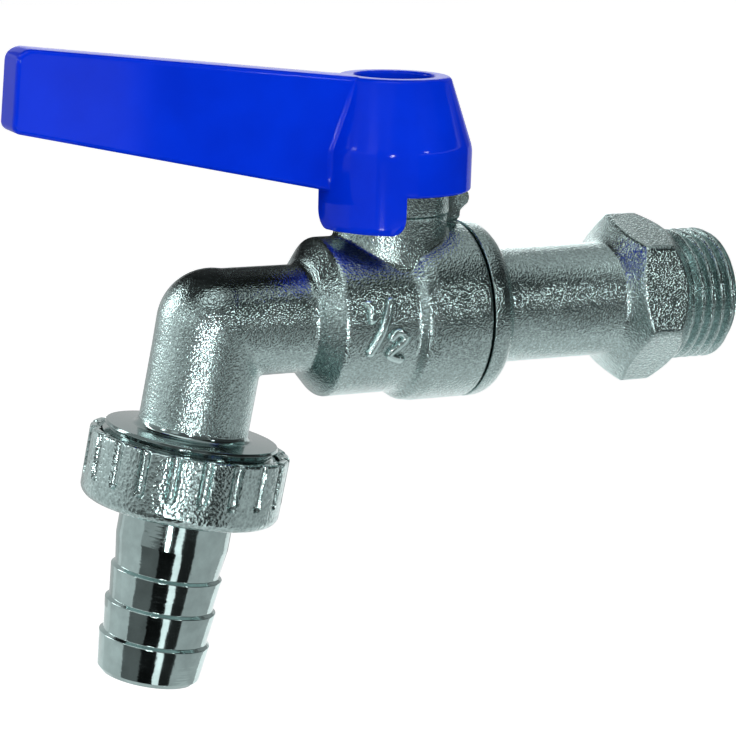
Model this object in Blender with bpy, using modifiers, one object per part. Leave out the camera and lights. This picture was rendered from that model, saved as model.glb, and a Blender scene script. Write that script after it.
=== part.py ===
# Hose tap with a lever-worked ball valve, an angled outlet and a union hose tail.
# Metres, +Z up. The origin is the centre of the inlet's end face, and the pipe axis is X.
import math

import bmesh
import bpy
from mathutils import Matrix, Vector

# Fits shared by every piece
GAP = 0.0003
OVERRUN = 0.0015
MERGE = 0.00001
FACETS = 32
SMALL_FACETS = 24
BALL_RINGS = 16
ELBOW_STEPS = 7
CORD_SIDES = 8

# Main places, from the crossing of the pipe axis and the stem axis
INLET_REACH = 0.0572
SPOUT_REACH = 0.02863
SPOUT_LEAN = math.radians(10.4)

# Ball
BALL_RADIUS = 0.0095
BALL_BORE_RADIUS = 0.0055
BALL_SLOT_DEPTH = 0.0031

# Seat rings
SEAT_BORE_RADIUS = 0.0059
SEAT_WIDTH = 0.0027
SEAT_LIP = 0.0011
SEAT_BACK = 0.0011
SEAT_PROUD = 0.0005

# Housing of the valve body
CHAMBER_PLAY = 0.0004
SPIGOT_STEP = 0.0011
HOUSING_WALL = 0.0024
HOUSING_EDGE = 0.00025
HOUSING_LENGTH = 0.01125
BARREL_WALL = 0.00217
BARREL_LENGTH = 0.0120
BARREL_EDGE = 0.0010
SHOULDER_LENGTH = 0.0030
STEP_BACK = 0.0003
STEP_RISE = 0.0008
STEP_EASE = 0.0018
STEP_EASE_DROP = 0.0003

# Spout and outlet
SPOUT_BORE_RADIUS = 0.0060
SPOUT_WALL = 0.00215
OUTLET_WALL = 0.00225
ELBOW_PROUD = 0.00007
ELBOW_BORE_EXTRA = 0.0002
COLLAR_DROP = 0.0165
COLLAR_FILLET = 0.0005
COLLAR_HEIGHT = 0.0006
COLLAR_TAPER = 0.00037
OUTLET_THREAD_RADIUS = 0.01322
OUTLET_THREAD_LENGTH = 0.0053
OUTLET_THREAD_CHAMFER = 0.0005
OUTLET_LIP = 0.00462
OUTLET_MOUTH_DEPTH = 0.0050

# Stem
STEM_RADIUS = 0.0045
BLADE_THICKNESS = 0.0040
BLADE_LENGTH = 0.0080
STEM_COLLAR_RISE = 0.0006
STEM_COLLAR_STEP = 0.0009
STEM_COLLAR_HEIGHT = 0.0016
STEM_SQUARE = 0.0060
STEM_SQUARE_SHORT = 0.0004
STEM_TIP_RADIUS = 0.0024
STEM_TIP_LENGTH = 0.0058
STEM_TIP_CHAMFER = 0.0004

# What seals the stem
THRUST_WASHER_THICKNESS = 0.0007
O_RING_CORD_RADIUS = 0.0005
PACKING_WIDTH = 0.0021
PACKING_HEIGHT = 0.0011
PACKING_BOX_DEPTH = 0.0034
GLAND_ACROSS_FLATS = 0.0140
GLAND_HEAD = 0.0030

# Neck, and the stop that ends the lever's travel both ways
NECK_WALL = 0.0017
NECK_RIM = 0.00025
NECK_RIM_HEIGHT = 0.0052
NECK_FLARE = 0.0010
NECK_FLARE_HEIGHT = 0.0125
NECK_EDGE = 0.0003
STOP_GAP = 0.0005
STOP_HEIGHT = 0.0045
STOP_PROUD = 0.0004
STOP_EDGE = 0.0007
STOP_SLOPE_HEIGHT = 0.0027
STOP_SLOPE_REACH = 0.0017
STOP_HALF_ANGLE = math.radians(13.0)
LEVER_TRAVEL = math.radians(90.0)

# Inlet adapter
ADAPTER_BORE_RADIUS = 0.0068
TUBE_WALL = 0.00217
FLANGE_BAND = 0.00105
FLANGE_ROUND = 0.0034
FLANGE_STEPS = 7
FLANGE_EDGE = 0.0002
SPIGOT_EDGE = 0.0004
HEX_ACROSS_FLATS = 0.0235
HEX_CORNER_TRIM = 0.00019
HEX_TURN = math.radians(15.0)
HEX_RISE = 0.0029
HEX_RISE_CURVE = 1.3
HEX_LENGTH = 0.0049
HEX_FALL = 0.0034
THREAD_RADIUS = 0.01048
THREAD_LENGTH = 0.0089
THREAD_CHAMFER = 0.0009
ADAPTER_SEAL_THICKNESS = 0.0010
ADAPTER_SEAL_WIDTH = 0.0016

# Lever
HUB_WALL = 0.0021
HUB_CLEARANCE = 0.00105
HUB_OVERLAP = 0.0017
HUB_EDGE = 0.0004
HUB_BAND = 0.0064
HUB_CONE = 0.0105
HUB_ROUND = 0.0009
HUB_WEB_CLEARANCE = 0.0011
HUB_WEB = 0.0042
HUB_RIM = 0.00265
RECESS_RADIUS = 0.00595
RECESS_EDGE = 0.0004
ARM_THICKNESS = 0.0066
ARM_REACH = 0.0592
ARM_ROOT = 0.0070
ARM_ROOT_DROP = 0.0001
ARM_ROOT_RISE = 0.0003
ARM_TOP_RISE = 0.0047
ARM_BASE_RISE = 0.0096
ARM_END_SLANT = 0.0008
ARM_TOP_CORNER = 0.0022
ARM_BASE_CORNER = 0.0013
ARM_EDGE = 0.0007
SKIRT_SWEEP = math.radians(75.5)
SKIRT_CORNER = 0.0022
SKIRT_STEPS = 8

# Lever fixing
WASHER_PLAY = 0.00075
WASHER_THICKNESS = 0.0010
FIXING_NUT_ACROSS_FLATS = 0.0080
FIXING_NUT_HEIGHT = 0.0032

# Union nut
NUT_WALL = 0.00153
NUT_HEIGHT = 0.0104
NUT_FLOOR = 0.0017
NUT_BASE_ROUND = 0.0017
NUT_EDGE = 0.0007
NUT_SLOTS = 20
NUT_SLOT_TURN = math.radians(10.5)
NUT_SLOT_RADIUS = 0.0011
NUT_SLOT_DEPTH = 0.0008
NUT_SLOT_LENGTH = 0.0068

# Hose tail and its gasket
GASKET_THICKNESS = 0.0013
TAIL_FLANGE = 0.0018
TAIL_BORE_RADIUS = 0.0062
TAIL_WALL = 0.0023
TAIL_LENGTH = 0.0281
TAIL_PLAIN_LENGTH = 0.0074
TAIL_END_LENGTH = 0.0060
TAIL_TIP_ROUND = 0.0007
BARB_COUNT = 3
BARB_PITCH = 0.00514
BARB_WALL = 0.0017
BARB_HEIGHT = 0.00053
BARB_LEAD = 0.0004

# Derived: the valve's chamber and the pieces that close it
seat_outer_radius = SEAT_BORE_RADIUS + SEAT_WIDTH
seat_face_radius = BALL_RADIUS + GAP
seat_front = math.sqrt(seat_face_radius**2 - (seat_outer_radius - SEAT_LIP) ** 2)
seat_back = math.sqrt(seat_face_radius**2 - SEAT_BORE_RADIUS**2) + SEAT_BACK
pocket_mouth = seat_front - SEAT_PROUD
pocket_floor = seat_back + GAP
pocket_radius = seat_outer_radius + GAP
chamber_radius = BALL_RADIUS + CHAMBER_PLAY
spigot_radius = chamber_radius + SPIGOT_STEP
spigot_bore_radius = spigot_radius + GAP
housing_radius = spigot_bore_radius + HOUSING_WALL
barrel_radius = chamber_radius + BARREL_WALL
shoulder_end = BARREL_LENGTH + SHOULDER_LENGTH
spout_radius = SPOUT_BORE_RADIUS + SPOUT_WALL
outlet_radius = SPOUT_BORE_RADIUS + OUTLET_WALL
outlet_mouth_radius = OUTLET_THREAD_RADIUS - OUTLET_LIP
elbow_radius = max(spout_radius, outlet_radius) + ELBOW_PROUD
flange_front = HOUSING_LENGTH + GAP
seal_outer_radius = spigot_radius - GAP + ADAPTER_SEAL_WIDTH

# Derived: the inlet adapter's hexagon, back from the thread's end
tube_radius = ADAPTER_BORE_RADIUS + TUBE_WALL
hex_fall_end = INLET_REACH - THREAD_LENGTH
hex_end = hex_fall_end - HEX_FALL
hex_full = hex_end - HEX_LENGTH
hex_start = hex_full - HEX_RISE

# Derived: widths round the stem, from the inside out
stem_bore_radius = STEM_RADIUS + GAP
stem_collar_radius = STEM_RADIUS + STEM_COLLAR_STEP
stem_hole_radius = stem_collar_radius + GAP
packing_radius = STEM_RADIUS + PACKING_WIDTH
packing_box_radius = packing_radius + GAP
neck_radius = packing_box_radius + NECK_WALL
neck_rim_radius = neck_radius + NECK_RIM
hub_bore_radius = neck_rim_radius + HUB_CLEARANCE
hub_radius = hub_bore_radius + HUB_WALL
hub_top_radius = RECESS_RADIUS + HUB_RIM
stop_reach = hub_radius + STOP_PROUD
washer_radius = RECESS_RADIUS - WASHER_PLAY

# Derived: heights from the pipe axis, first outside and then inside
stop_base = housing_radius + STOP_GAP
stop_top = stop_base + STOP_HEIGHT
hub_base = stop_top + 2 * GAP
neck_top = hub_base + HUB_OVERLAP
hub_shoulder = hub_base + HUB_BAND
hub_top = hub_shoulder + HUB_CONE
stem_collar_base = BALL_RADIUS + STEM_COLLAR_RISE
collar_top = stem_collar_base + STEM_COLLAR_HEIGHT
thrust_washer_base = collar_top + GAP
stem_ledge = thrust_washer_base + THRUST_WASHER_THICKNESS + GAP
packing_floor = neck_top - PACKING_BOX_DEPTH
packing_base = packing_floor + GAP
gland_base = packing_base + PACKING_HEIGHT + GAP
gland_head_base = neck_top + GAP
gland_top = gland_head_base + GLAND_HEAD
hub_web_base = gland_top + HUB_WEB_CLEARANCE
recess_floor = hub_web_base + HUB_WEB
square_base = gland_top + GAP
square_top = recess_floor - STEM_SQUARE_SHORT
stem_tip = square_top + STEM_TIP_LENGTH
fixing_washer_base = recess_floor + GAP
fixing_nut_base = fixing_washer_base + WASHER_THICKNESS + GAP
o_ring_shares = (0.27, 0.73)
o_ring_heights = [stem_ledge + (packing_floor - stem_ledge) * share for share in o_ring_shares]
o_ring_radius = STEM_RADIUS - O_RING_CORD_RADIUS
groove_half = O_RING_CORD_RADIUS + GAP
groove_floor = o_ring_radius - groove_half

# Derived: the skirt's two lengths, with the stop between them: one end meets it open, the other closed
stop_clear_angle = STOP_HALF_ANGLE + GAP / hub_radius
skirt_starts = (stop_clear_angle, math.tau - stop_clear_angle - LEVER_TRAVEL - SKIRT_SWEEP)
skirt_base = math.sqrt(housing_radius**2 - (hub_radius * math.sin(stop_clear_angle)) ** 2) + GAP

# Derived: the outlet, down the leaning axis from the elbow
thread_start = COLLAR_DROP + COLLAR_HEIGHT
thread_end = thread_start + OUTLET_THREAD_LENGTH
gasket_top = thread_end + GAP
gasket_base = gasket_top + GASKET_THICKNESS
tail_top = gasket_base + GAP
tail_flange_base = tail_top + TAIL_FLANGE
nut_floor_top = tail_flange_base + GAP
nut_base = nut_floor_top + NUT_FLOOR
nut_top = nut_base - NUT_HEIGHT
nut_bore_radius = OUTLET_THREAD_RADIUS + GAP
nut_radius = nut_bore_radius + NUT_WALL
tail_radius = TAIL_BORE_RADIUS + TAIL_WALL
barb_root_radius = TAIL_BORE_RADIUS + BARB_WALL
barb_crest_radius = barb_root_radius + BARB_HEIGHT
tail_end = tail_flange_base + TAIL_LENGTH
first_barb = tail_end - TAIL_END_LENGTH - (BARB_COUNT - 1) * BARB_PITCH

stem_place = Vector((-INLET_REACH, 0, 0))
elbow_place = stem_place - Vector((SPOUT_REACH, 0, 0))
along_pipe = (0, math.pi / 2, 0)
along_outlet = (0, SPOUT_LEAN, 0)


def clear_scene():
    for item in list(bpy.data.objects):
        bpy.data.objects.remove(item)


def new_collection(name):
    made = bpy.data.collections.new(name)
    bpy.context.scene.collection.children.link(made)
    return made


def new_material(name, colour, roughness, metallic):
    made = bpy.data.materials.new(name)
    made.use_nodes = True
    shader = made.node_tree.nodes["Principled BSDF"]
    shader.inputs["Base Color"].default_value = (*colour, 1)
    shader.inputs["Roughness"].default_value = roughness
    shader.inputs["Metallic"].default_value = metallic
    made.diffuse_color = (*colour, 1)
    return made


def new_frame(name, place, turn):
    frame = bpy.data.objects.new(name, None)
    frame.location = place
    frame.rotation_euler = turn
    parts.objects.link(frame)
    return frame


def new_object(name, mesh, home, frame):
    made = bpy.data.objects.new(name, mesh)
    made.parent = frame
    home.objects.link(made)
    if home is cutters:
        made.hide_render = True
        made.display_type = "WIRE"
    return made


def from_bmesh(name, form, home, frame):
    bmesh.ops.recalc_face_normals(form, faces=form.faces)
    mesh = bpy.data.meshes.new(name)
    form.to_mesh(mesh)
    form.free()
    return new_object(name, mesh, home, frame)


def arc(centre, radii, start, end, steps):
    """Points (radius, height) round an ellipse, from one angle to the other."""
    turns = [start + (end - start) * i / steps for i in range(steps + 1)]
    return [
        (centre[0] + radii[0] * math.cos(turn), centre[1] + radii[1] * math.sin(turn))
        for turn in turns
    ]


def turned(name, profile, home, frame, ring=False, facets=FACETS):
    """Turn a profile of (radius, height) points about the frame's Z axis."""
    mesh = bpy.data.meshes.new(name)
    points = [(radius, 0, height) for radius, height in profile]
    edges = [(i, i + 1) for i in range(len(points) - 1)]
    if ring:
        edges.append((len(points) - 1, 0))
    mesh.from_pydata(points, edges, [])
    made = new_object(name, mesh, home, frame)
    screw = made.modifiers.new("Turn", "SCREW")
    screw.steps = facets
    screw.render_steps = facets
    screw.use_merge_vertices = True
    screw.merge_threshold = MERGE
    return made


def cylinder(name, radius, low, high, home, frame, facets=FACETS):
    """A solid round bar about the frame's Z axis."""
    return turned(name, [(0, high), (radius, high), (radius, low), (0, low)], home, frame, facets=facets)


def prism(name, radius, low, high, sides, turn, home, frame):
    """A bar with flat sides about the frame's Z axis; the radius is to its corners."""
    form = bmesh.new()
    place = Matrix.Translation((0, 0, (low + high) / 2)) @ Matrix.Rotation(turn, 4, "Z")
    bmesh.ops.create_cone(
        form, cap_ends=True, segments=sides, radius1=radius, radius2=radius, depth=high - low, matrix=place
    )
    return from_bmesh(name, form, home, frame)


def corner_radius(across_flats, sides):
    return across_flats / 2 / math.cos(math.pi / sides)


def sector(name, outline, start, sweep, steps, home, frame):
    """Swing an outline of (radius, height) points through part of a turn about Z."""
    form = bmesh.new()
    corners = [form.verts.new((radius, 0, height)) for radius, height in outline]
    face = form.faces.new(corners)
    geometry = [face, *face.edges, *face.verts]
    bmesh.ops.rotate(form, verts=form.verts, cent=(0, 0, 0), matrix=Matrix.Rotation(start, 3, "Z"))
    bmesh.ops.spin(form, geom=geometry, cent=(0, 0, 0), axis=(0, 0, 1), angle=sweep, steps=steps)
    return from_bmesh(name, form, home, frame)


def plate(name, outline, thickness, place, home, frame):
    """A flat outline, filled and given thickness to both sides of its plane, as a mesh."""
    curve = bpy.data.curves.new(name, "CURVE")
    curve.dimensions = "2D"
    curve.fill_mode = "BOTH"
    curve.extrude = thickness / 2
    spline = curve.splines.new("POLY")
    spline.points.add(len(outline) - 1)
    for point, (across, up) in zip(spline.points, outline):
        point.co = (across, up, 0, 1)
    spline.use_cyclic_u = True
    flat = bpy.data.objects.new(name, curve)
    bpy.context.scene.collection.objects.link(flat)
    bpy.context.view_layer.update()
    view = bpy.context.evaluated_depsgraph_get()
    mesh = bpy.data.meshes.new_from_object(flat.evaluated_get(view))
    form = bmesh.new()
    form.from_mesh(mesh)
    bmesh.ops.remove_doubles(form, verts=form.verts, dist=MERGE)
    bmesh.ops.transform(form, matrix=place, verts=form.verts)
    bpy.data.objects.remove(flat)
    return from_bmesh(name, form, home, frame)


def combine(target, other, operation):
    boolean = target.modifiers.new(operation.title(), "BOOLEAN")
    boolean.object = other
    boolean.operation = operation
    boolean.solver = "EXACT"


def finish(piece, material):
    """Close the seams that cuts leave, and shade the piece smooth with its sharp edges kept."""
    if any(modifier.type == "BOOLEAN" for modifier in piece.modifiers):
        weld = piece.modifiers.new("Close", "WELD")
        weld.merge_threshold = MERGE
    piece.data.materials.append(material)
    if piece.data.polygons:
        piece.data.shade_smooth()
        piece.data.set_sharp_from_angle(angle=math.radians(35))


def rounded_corner(before, corner, after, radius, steps):
    """Points of a tangent arc that replaces one corner of an outline."""
    corner = Vector(corner)
    one = (Vector(before) - corner).normalized()
    two = (Vector(after) - corner).normalized()
    half = one.angle(two) / 2
    centre = corner + (one + two).normalized() * (radius / math.sin(half))
    start = corner + one * (radius / math.tan(half)) - centre
    end = corner + two * (radius / math.tan(half)) - centre
    points = []
    for i in range(steps + 1):
        spoke = start.lerp(end, i / steps).normalized() * radius
        points.append(tuple(centre + spoke))
    return points


def build_valve_body():
    """One casting: housing, neck with its stop, spout, elbow and threaded outlet."""
    housing = turned("valve_body", [
        (0, HOUSING_LENGTH),
        (housing_radius - HOUSING_EDGE, HOUSING_LENGTH),
        (housing_radius, HOUSING_LENGTH - HOUSING_EDGE),
        (housing_radius, STEP_RISE + STEP_EASE),
        (housing_radius - STEP_EASE_DROP, STEP_RISE),
        (barrel_radius, -STEP_BACK),
        *arc((barrel_radius - BARREL_EDGE, -BARREL_LENGTH), (BARREL_EDGE, BARREL_EDGE),
             0, -math.radians(55), 3),
        (spout_radius, -shoulder_end),
        (spout_radius, -SPOUT_REACH),
        (0, -SPOUT_REACH),
    ], parts, pipe_frame)

    outlet = turned("outlet_form", [
        *arc((0, 0), (elbow_radius, elbow_radius), math.pi / 2, 0, ELBOW_STEPS),
        (outlet_radius, -elbow_radius / 2),
        (outlet_radius, -(COLLAR_DROP - COLLAR_FILLET)),
        (outlet_radius + COLLAR_FILLET, -COLLAR_DROP),
        (OUTLET_THREAD_RADIUS - COLLAR_TAPER, -COLLAR_DROP),
        (OUTLET_THREAD_RADIUS, -thread_start),
        (OUTLET_THREAD_RADIUS, -(thread_end - OUTLET_THREAD_CHAMFER)),
        (OUTLET_THREAD_RADIUS - OUTLET_THREAD_CHAMFER, -thread_end),
        (0, -thread_end),
    ], cutters, outlet_frame)
    neck = turned("neck_form", [
        (0, neck_top),
        (neck_rim_radius - NECK_EDGE, neck_top),
        (neck_rim_radius, neck_top - NECK_EDGE),
        (neck_rim_radius, neck_top - NECK_RIM_HEIGHT),
        (neck_radius, neck_top - NECK_RIM_HEIGHT),
        (neck_radius, NECK_FLARE_HEIGHT),
        (neck_radius + NECK_FLARE, 0),
        (0, 0),
    ], cutters, stem_frame)
    stop_root = packing_box_radius - NECK_EDGE
    stop = sector("stop_form", [
        (stop_root, stop_top),
        (stop_reach - STOP_EDGE, stop_top),
        (stop_reach, stop_top - STOP_EDGE),
        (stop_reach, stop_base + STOP_SLOPE_HEIGHT),
        (stop_reach - STOP_SLOPE_REACH, stop_base),
        (stop_root, stop_base),
    ], -STOP_HALF_ANGLE, 2 * STOP_HALF_ANGLE, 4, cutters, stem_frame)
    for form in (outlet, neck, stop):
        combine(housing, form, "UNION")

    chamber = turned("chamber_cut", [
        (0, HOUSING_LENGTH + OVERRUN),
        (spigot_bore_radius, HOUSING_LENGTH + OVERRUN),
        (spigot_bore_radius, pocket_mouth - GAP),
        (chamber_radius, pocket_mouth - GAP),
        (chamber_radius, -pocket_mouth),
        (pocket_radius, -pocket_mouth),
        (pocket_radius, -pocket_floor),
        (SPOUT_BORE_RADIUS, -pocket_floor),
        (SPOUT_BORE_RADIUS, -SPOUT_REACH),
        (0, -SPOUT_REACH),
    ], cutters, pipe_frame)
    turn_radius = SPOUT_BORE_RADIUS + ELBOW_BORE_EXTRA
    mouth_floor = thread_end - OUTLET_MOUTH_DEPTH
    outlet_bore = turned("outlet_cut", [
        *arc((0, 0), (turn_radius, turn_radius), math.pi / 2, 0, ELBOW_STEPS),
        (SPOUT_BORE_RADIUS, -turn_radius / 2),
        (SPOUT_BORE_RADIUS, -(mouth_floor - (outlet_mouth_radius - SPOUT_BORE_RADIUS))),
        (outlet_mouth_radius, -mouth_floor),
        (outlet_mouth_radius, -(thread_end + OVERRUN)),
        (0, -(thread_end + OVERRUN)),
    ], cutters, outlet_frame)
    stem_bore = turned("stem_bore_cut", [
        (0, neck_top + OVERRUN),
        (packing_box_radius, neck_top + OVERRUN),
        (packing_box_radius, packing_floor),
        (stem_bore_radius, packing_floor),
        (stem_bore_radius, stem_ledge),
        (stem_hole_radius, stem_ledge),
        (stem_hole_radius, 0),
        (0, 0),
    ], cutters, stem_frame)
    for form in (chamber, outlet_bore, stem_bore):
        combine(housing, form, "DIFFERENCE")
    finish(housing, blasted_nickel)


def build_inlet_adapter():
    """Screwed end piece: flange, long tube, hexagon and inlet thread, turned and milled from one bar."""
    round_centre = (housing_radius - FLANGE_ROUND, flange_front + FLANGE_BAND)
    flange_arc = arc(round_centre, (FLANGE_ROUND, FLANGE_ROUND), math.pi / 2, 0, FLANGE_STEPS)
    adapter = turned("inlet_adapter", [
        (ADAPTER_BORE_RADIUS, INLET_REACH),
        (THREAD_RADIUS - THREAD_CHAMFER, INLET_REACH),
        (THREAD_RADIUS, INLET_REACH - THREAD_CHAMFER),
        (THREAD_RADIUS, hex_fall_end),
        (tube_radius, hex_fall_end),
        (tube_radius, flange_front + FLANGE_BAND + FLANGE_ROUND),
        *flange_arc,
        (housing_radius, flange_front + FLANGE_EDGE),
        (housing_radius - FLANGE_EDGE, flange_front),
        (seal_outer_radius + GAP, flange_front),
        (seal_outer_radius + GAP, flange_front + ADAPTER_SEAL_THICKNESS),
        (spigot_radius - 2 * GAP, flange_front + ADAPTER_SEAL_THICKNESS),
        (spigot_radius - 2 * GAP, flange_front),
        (spigot_radius, flange_front - GAP),
        (spigot_radius, pocket_mouth + SPIGOT_EDGE),
        (spigot_radius - SPIGOT_EDGE, pocket_mouth),
        (pocket_radius, pocket_mouth),
        (pocket_radius, pocket_floor),
        (ADAPTER_BORE_RADIUS, pocket_floor),
    ], parts, pipe_frame, ring=True)

    hex_corner_radius = corner_radius(HEX_ACROSS_FLATS, 6) - HEX_CORNER_TRIM
    hex_root = tube_radius - GAP
    hex_height = hex_corner_radius - hex_root
    rise_shares = (0.2, 0.5, 0.8, 1.0)
    hexagon = turned("hexagon_form", [
        (ADAPTER_BORE_RADIUS + GAP, hex_fall_end),
        (THREAD_RADIUS + GAP, hex_fall_end),
        (hex_corner_radius, hex_end),
        (hex_corner_radius, hex_full),
        *[(hex_root + hex_height * (1 - share) ** HEX_RISE_CURVE, hex_full - HEX_RISE * share)
          for share in rise_shares],
        (ADAPTER_BORE_RADIUS + GAP, hex_start),
    ], cutters, pipe_frame, ring=True)
    flats = prism("hexagon_flats", corner_radius(HEX_ACROSS_FLATS, 6), hex_start - OVERRUN,
                  hex_fall_end + OVERRUN, 6, HEX_TURN, cutters, pipe_frame)
    combine(hexagon, flats, "INTERSECT")
    combine(adapter, hexagon, "UNION")
    finish(adapter, blasted_nickel)


def build_adapter_seal():
    """Flat ring squeezed between the housing and the adapter's flange."""
    seal = turned("adapter_seal", [
        (seal_outer_radius, flange_front + ADAPTER_SEAL_THICKNESS - GAP),
        (seal_outer_radius, flange_front),
        (spigot_radius - GAP, flange_front),
        (spigot_radius - GAP, flange_front + ADAPTER_SEAL_THICKNESS - GAP),
    ], parts, pipe_frame, ring=True)
    finish(seal, black_rubber)


def build_ball():
    """Bored ball with a slot across its top for the stem's blade."""
    form = bmesh.new()
    bmesh.ops.create_uvsphere(form, u_segments=SMALL_FACETS, v_segments=BALL_RINGS, radius=BALL_RADIUS)
    ball = from_bmesh("ball", form, parts, stem_frame)
    bore = cylinder("ball_bore_cut", BALL_BORE_RADIUS, -(BALL_RADIUS + OVERRUN), BALL_RADIUS + OVERRUN,
                    cutters, pipe_frame, SMALL_FACETS)
    slot_floor = BALL_RADIUS - BALL_SLOT_DEPTH
    slot_width = BLADE_THICKNESS + 2 * GAP
    form = bmesh.new()
    bmesh.ops.create_cube(form, size=1)
    bmesh.ops.scale(form, verts=form.verts, vec=(slot_width, 2 * BALL_RADIUS, 2 * BALL_SLOT_DEPTH))
    bmesh.ops.translate(form, verts=form.verts, vec=(0, 0, slot_floor + BALL_SLOT_DEPTH))
    slot = from_bmesh("ball_slot_cut", form, cutters, stem_frame)
    combine(ball, bore, "DIFFERENCE")
    combine(ball, slot, "DIFFERENCE")
    finish(ball, bright_chrome)


def build_seat_ring(name, side):
    """Ring with a hollow face that fits the ball; side is 1 at the inlet and -1 at the outlet."""
    mouth_turn = math.acos(seat_front / seat_face_radius)
    bore_turn = math.asin(SEAT_BORE_RADIUS / seat_face_radius)
    face = [
        (seat_face_radius * math.sin(turn), seat_face_radius * math.cos(turn))
        for turn in [mouth_turn + (bore_turn - mouth_turn) * i / 4 for i in range(5)]
    ]
    rim = [(seat_outer_radius, seat_back), (seat_outer_radius, seat_front)]
    profile = [*rim, *face, (SEAT_BORE_RADIUS, seat_back)]
    if side < 0:
        profile = [(radius, -height) for radius, height in reversed(profile)]
    finish(turned(name, profile, parts, pipe_frame, ring=True), white_ptfe)


def build_stem():
    """Stem with a blade for the ball, a collar, two ring grooves, a square and a threaded tip."""
    grooves = []
    for height in reversed(o_ring_heights):
        grooves += [
            (STEM_RADIUS, height + groove_half),
            (groove_floor, height + groove_half),
            (groove_floor, height - groove_half),
            (STEM_RADIUS, height - groove_half),
        ]
    stem = turned("stem", [
        (0, stem_tip),
        (STEM_TIP_RADIUS - STEM_TIP_CHAMFER, stem_tip),
        (STEM_TIP_RADIUS, stem_tip - STEM_TIP_CHAMFER),
        (STEM_TIP_RADIUS, square_base - GAP),
        (STEM_RADIUS, square_base - GAP),
        *grooves,
        (STEM_RADIUS, collar_top),
        (stem_collar_radius, collar_top),
        (stem_collar_radius, stem_collar_base),
        (0, stem_collar_base),
    ], parts, stem_frame, facets=SMALL_FACETS)
    square = prism("stem_square_form", corner_radius(STEM_SQUARE, 4), square_base - 2 * GAP, square_top, 4,
                   math.radians(45), cutters, stem_frame)
    blade_base = BALL_RADIUS - BALL_SLOT_DEPTH + GAP
    form = bmesh.new()
    bmesh.ops.create_cube(form, size=1)
    blade_height = stem_collar_base + GAP - blade_base
    bmesh.ops.scale(form, verts=form.verts, vec=(BLADE_THICKNESS, BLADE_LENGTH, blade_height))
    bmesh.ops.translate(form, verts=form.verts, vec=(0, 0, blade_base + blade_height / 2))
    blade = from_bmesh("stem_blade_form", form, cutters, stem_frame)
    combine(stem, square, "UNION")
    combine(stem, blade, "UNION")
    finish(stem, turned_brass)


def build_ring(name, inner, outer, low, high, material, facets=SMALL_FACETS):
    """Flat ring about the stem's axis."""
    ring = turned(name, [(outer, high), (outer, low), (inner, low), (inner, high)],
                  parts, stem_frame, ring=True, facets=facets)
    finish(ring, material)


def build_stem_o_ring(name, height):
    last = math.pi / 2 - math.tau * (CORD_SIDES - 1) / CORD_SIDES
    cord = arc((o_ring_radius, height), (O_RING_CORD_RADIUS, O_RING_CORD_RADIUS),
               math.pi / 2, last, CORD_SIDES - 1)
    finish(turned(name, cord, parts, stem_frame, ring=True, facets=SMALL_FACETS), black_rubber)


def build_gland_nut():
    """Hexagon nut whose threaded sleeve presses the packing into the neck."""
    gland = turned("gland_nut", [
        (packing_radius, gland_head_base + GAP),
        (packing_radius, gland_base),
        (stem_bore_radius, gland_base),
        (stem_bore_radius, gland_head_base + GAP),
    ], parts, stem_frame, ring=True, facets=SMALL_FACETS)
    head = prism("gland_head_form", corner_radius(GLAND_ACROSS_FLATS, 6), gland_head_base, gland_top, 6, 0,
                 cutters, stem_frame)
    bore = cylinder("gland_bore_cut", stem_bore_radius, gland_base - OVERRUN, gland_top + OVERRUN,
                    cutters, stem_frame, SMALL_FACETS)
    combine(gland, head, "UNION")
    combine(gland, bore, "DIFFERENCE")
    finish(gland, turned_brass)


def lever_arm_outline():
    """Side view of the arm, as (outward reach, height): a tapering bar that rises to its tip."""
    base_tip = (ARM_REACH, hub_base + ARM_BASE_RISE)
    top_tip = (ARM_REACH - ARM_END_SLANT, hub_top + ARM_TOP_RISE)
    root_top = (ARM_ROOT, hub_top - ARM_ROOT_DROP)
    base_slope = (ARM_BASE_RISE - ARM_ROOT_RISE) / (ARM_REACH - hub_radius)
    root_base = (ARM_ROOT, hub_base + ARM_ROOT_RISE - base_slope * (hub_radius - ARM_ROOT))
    return [
        root_base,
        *rounded_corner(root_base, base_tip, top_tip, ARM_BASE_CORNER, 3),
        *rounded_corner(base_tip, top_tip, root_top, ARM_TOP_CORNER, 5),
        root_top,
    ]


def skirt_length(name, start):
    """One length of the hub's skirt: a bent plate with its two lower corners rounded."""
    outline = [
        (hub_bore_radius - HUB_EDGE, hub_base + HUB_EDGE),
        (hub_radius, hub_base + 2 * HUB_EDGE),
        (hub_radius, skirt_base),
        (hub_bore_radius - HUB_EDGE, skirt_base),
    ]
    skirt = sector(name + "_form", outline, start, SKIRT_SWEEP, SKIRT_STEPS, cutters, stem_frame)
    half_width = hub_radius * math.sin(SKIRT_SWEEP / 2) + GAP
    top = hub_base + OVERRUN
    foot = skirt_base - GAP / 2
    corners = [(-half_width, top), (-half_width, foot), (half_width, foot), (half_width, top)]
    face = [
        corners[0],
        *rounded_corner(corners[0], corners[1], corners[2], SKIRT_CORNER, 4),
        *rounded_corner(corners[1], corners[2], corners[3], SKIRT_CORNER, 4),
        corners[3],
    ]
    facing = Matrix.Rotation(start + SKIRT_SWEEP / 2 + math.pi / 2, 4, "Z")
    outward = Matrix.Translation((0, -hub_radius, 0))
    upright = Matrix.Rotation(math.pi / 2, 4, "X")
    window = plate(name + "_corners", face, 2 * hub_radius, facing @ outward @ upright, cutters, stem_frame)
    combine(skirt, window, "INTERSECT")
    return skirt


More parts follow.
